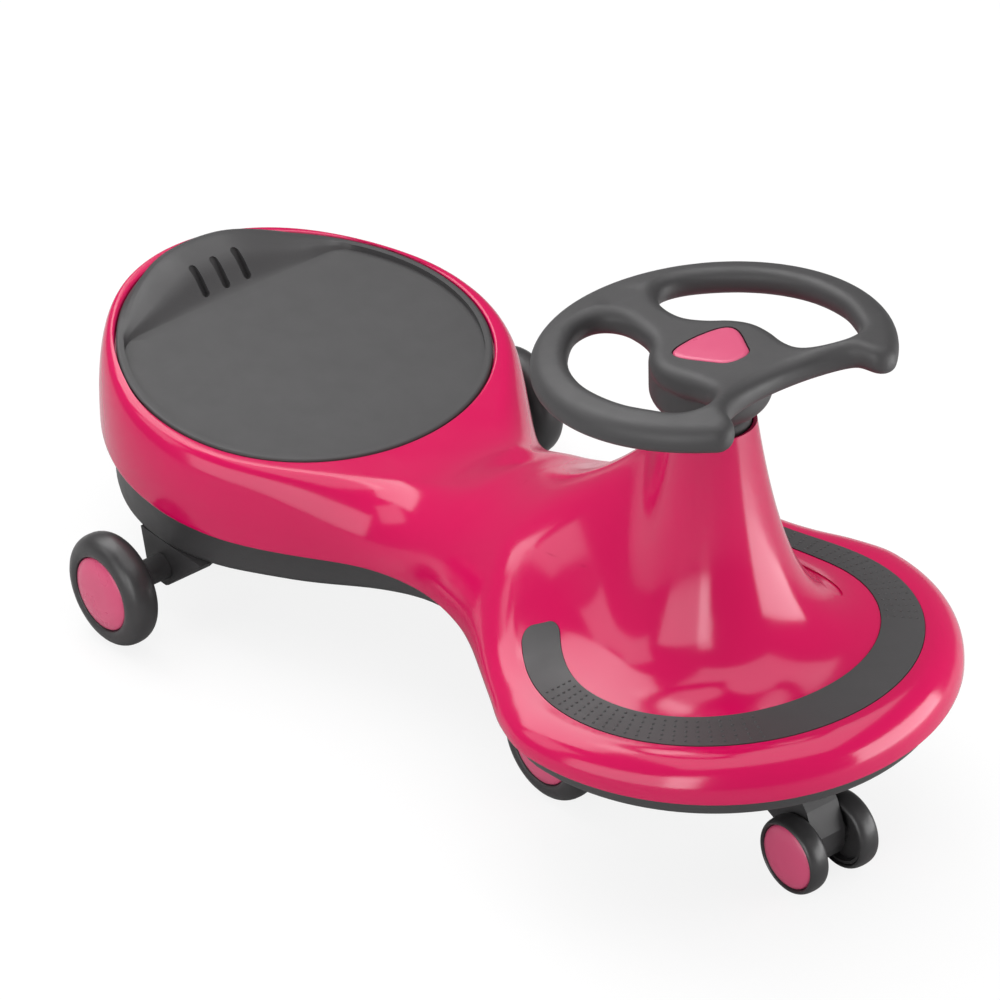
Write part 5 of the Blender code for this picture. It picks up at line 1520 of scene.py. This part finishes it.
def add_camera():
    """The camera as fitted to the photograph."""
    around, above, roll = (math.radians(deg) for deg in (CAMERA_AROUND, CAMERA_ABOVE, CAMERA_ROLL))
    back = Vector((math.sin(around) * math.cos(above), -math.cos(around) * math.cos(above),
                   math.sin(above)))
    level = Vector((math.cos(around), math.sin(around), 0.0))
    upright = back.cross(level)
    right = math.cos(roll) * level + math.sin(roll) * upright
    up = -math.sin(roll) * level + math.cos(roll) * upright
    data = bpy.data.cameras.new("camera")
    data.sensor_width = SENSOR_MM
    data.lens = CAMERA_FOCAL_PX / FRAME_PX * SENSOR_MM
    data.clip_start = 0.1
    data.clip_end = 60.0
    cam = bpy.data.objects.new("camera", data)
    bpy.context.scene.collection.objects.link(cam)
    target = Vector((CAMERA_AIM_X + COLUMN_X, 0.0, CAMERA_AIM_Z))
    turn = Matrix((right, up, back)).transposed()
    cam.matrix_world = Matrix.Translation(target + back * CAMERA_AWAY) @ turn.to_4x4()
    bpy.context.scene.camera = cam


class SWINGCAR_OT_stage(bpy.types.Operator):
    """Set the pale floor, the even room light, the soft lamps and the camera"""
    bl_idname = "swingcar.stage"
    bl_label = "Stage"

    def execute(self, context):
        stage = context.scene.swing_car_stage
        add_floor(stage.floor)
        add_room(stage.room)
        for lamp in LAMPS:
            add_softbox(*lamp)
        context.scene.view_settings.view_transform = "Standard"
        add_camera()
        return {"FINISHED"}


class SWINGCAR_PT_panel(bpy.types.Panel):
    """Sizes, colours and steps of the swing car"""
    bl_idname = "SWINGCAR_PT_panel"
    bl_label = "Swing car"
    bl_space_type = "VIEW_3D"
    bl_region_type = "UI"
    bl_category = "Swing car"

    def draw(self, context):
        layout = self.layout
        for group in (context.scene.swing_car_colours, context.scene.swing_car_sizes,
                      context.scene.swing_car_stage):
            box = layout.box()
            for name in group.__annotations__:
                box.prop(group, name)
        for step in STEPS:
            layout.operator(step.bl_idname)


STEPS = (SWINGCAR_OT_body_shell, SWINGCAR_OT_grip_pad, SWINGCAR_OT_seat_plate, SWINGCAR_OT_under_tray,
         SWINGCAR_OT_steering_wheel, SWINGCAR_OT_centre_cap, SWINGCAR_OT_road_wheels,
         SWINGCAR_OT_running_gear, SWINGCAR_OT_stage)
GROUPS = (SwingCarColours, SwingCarSizes, SwingCarStage)


def register():
    """Add the groups, the steps and the panel."""
    for made in GROUPS + STEPS + (SWINGCAR_PT_panel,):
        bpy.utils.register_class(made)
    bpy.types.Scene.swing_car_colours = bpy.props.PointerProperty(type=SwingCarColours)
    bpy.types.Scene.swing_car_sizes = bpy.props.PointerProperty(type=SwingCarSizes)
    bpy.types.Scene.swing_car_stage = bpy.props.PointerProperty(type=SwingCarStage)


def unregister():
    """Take them away again."""
    del bpy.types.Scene.swing_car_stage
    del bpy.types.Scene.swing_car_sizes
    del bpy.types.Scene.swing_car_colours
    for made in reversed(GROUPS + STEPS + (SWINGCAR_PT_panel,)):
        bpy.utils.unregister_class(made)


def main():
    """Run every step."""
    register()
    bpy.ops.swingcar.body_shell()
    bpy.ops.swingcar.grip_pad()
    bpy.ops.swingcar.seat_plate()
    bpy.ops.swingcar.under_tray()
    bpy.ops.swingcar.steering_wheel()
    bpy.ops.swingcar.centre_cap()
    bpy.ops.swingcar.road_wheels()
    bpy.ops.swingcar.running_gear()
    bpy.ops.swingcar.stage()


if __name__ == "__main__":
    main()
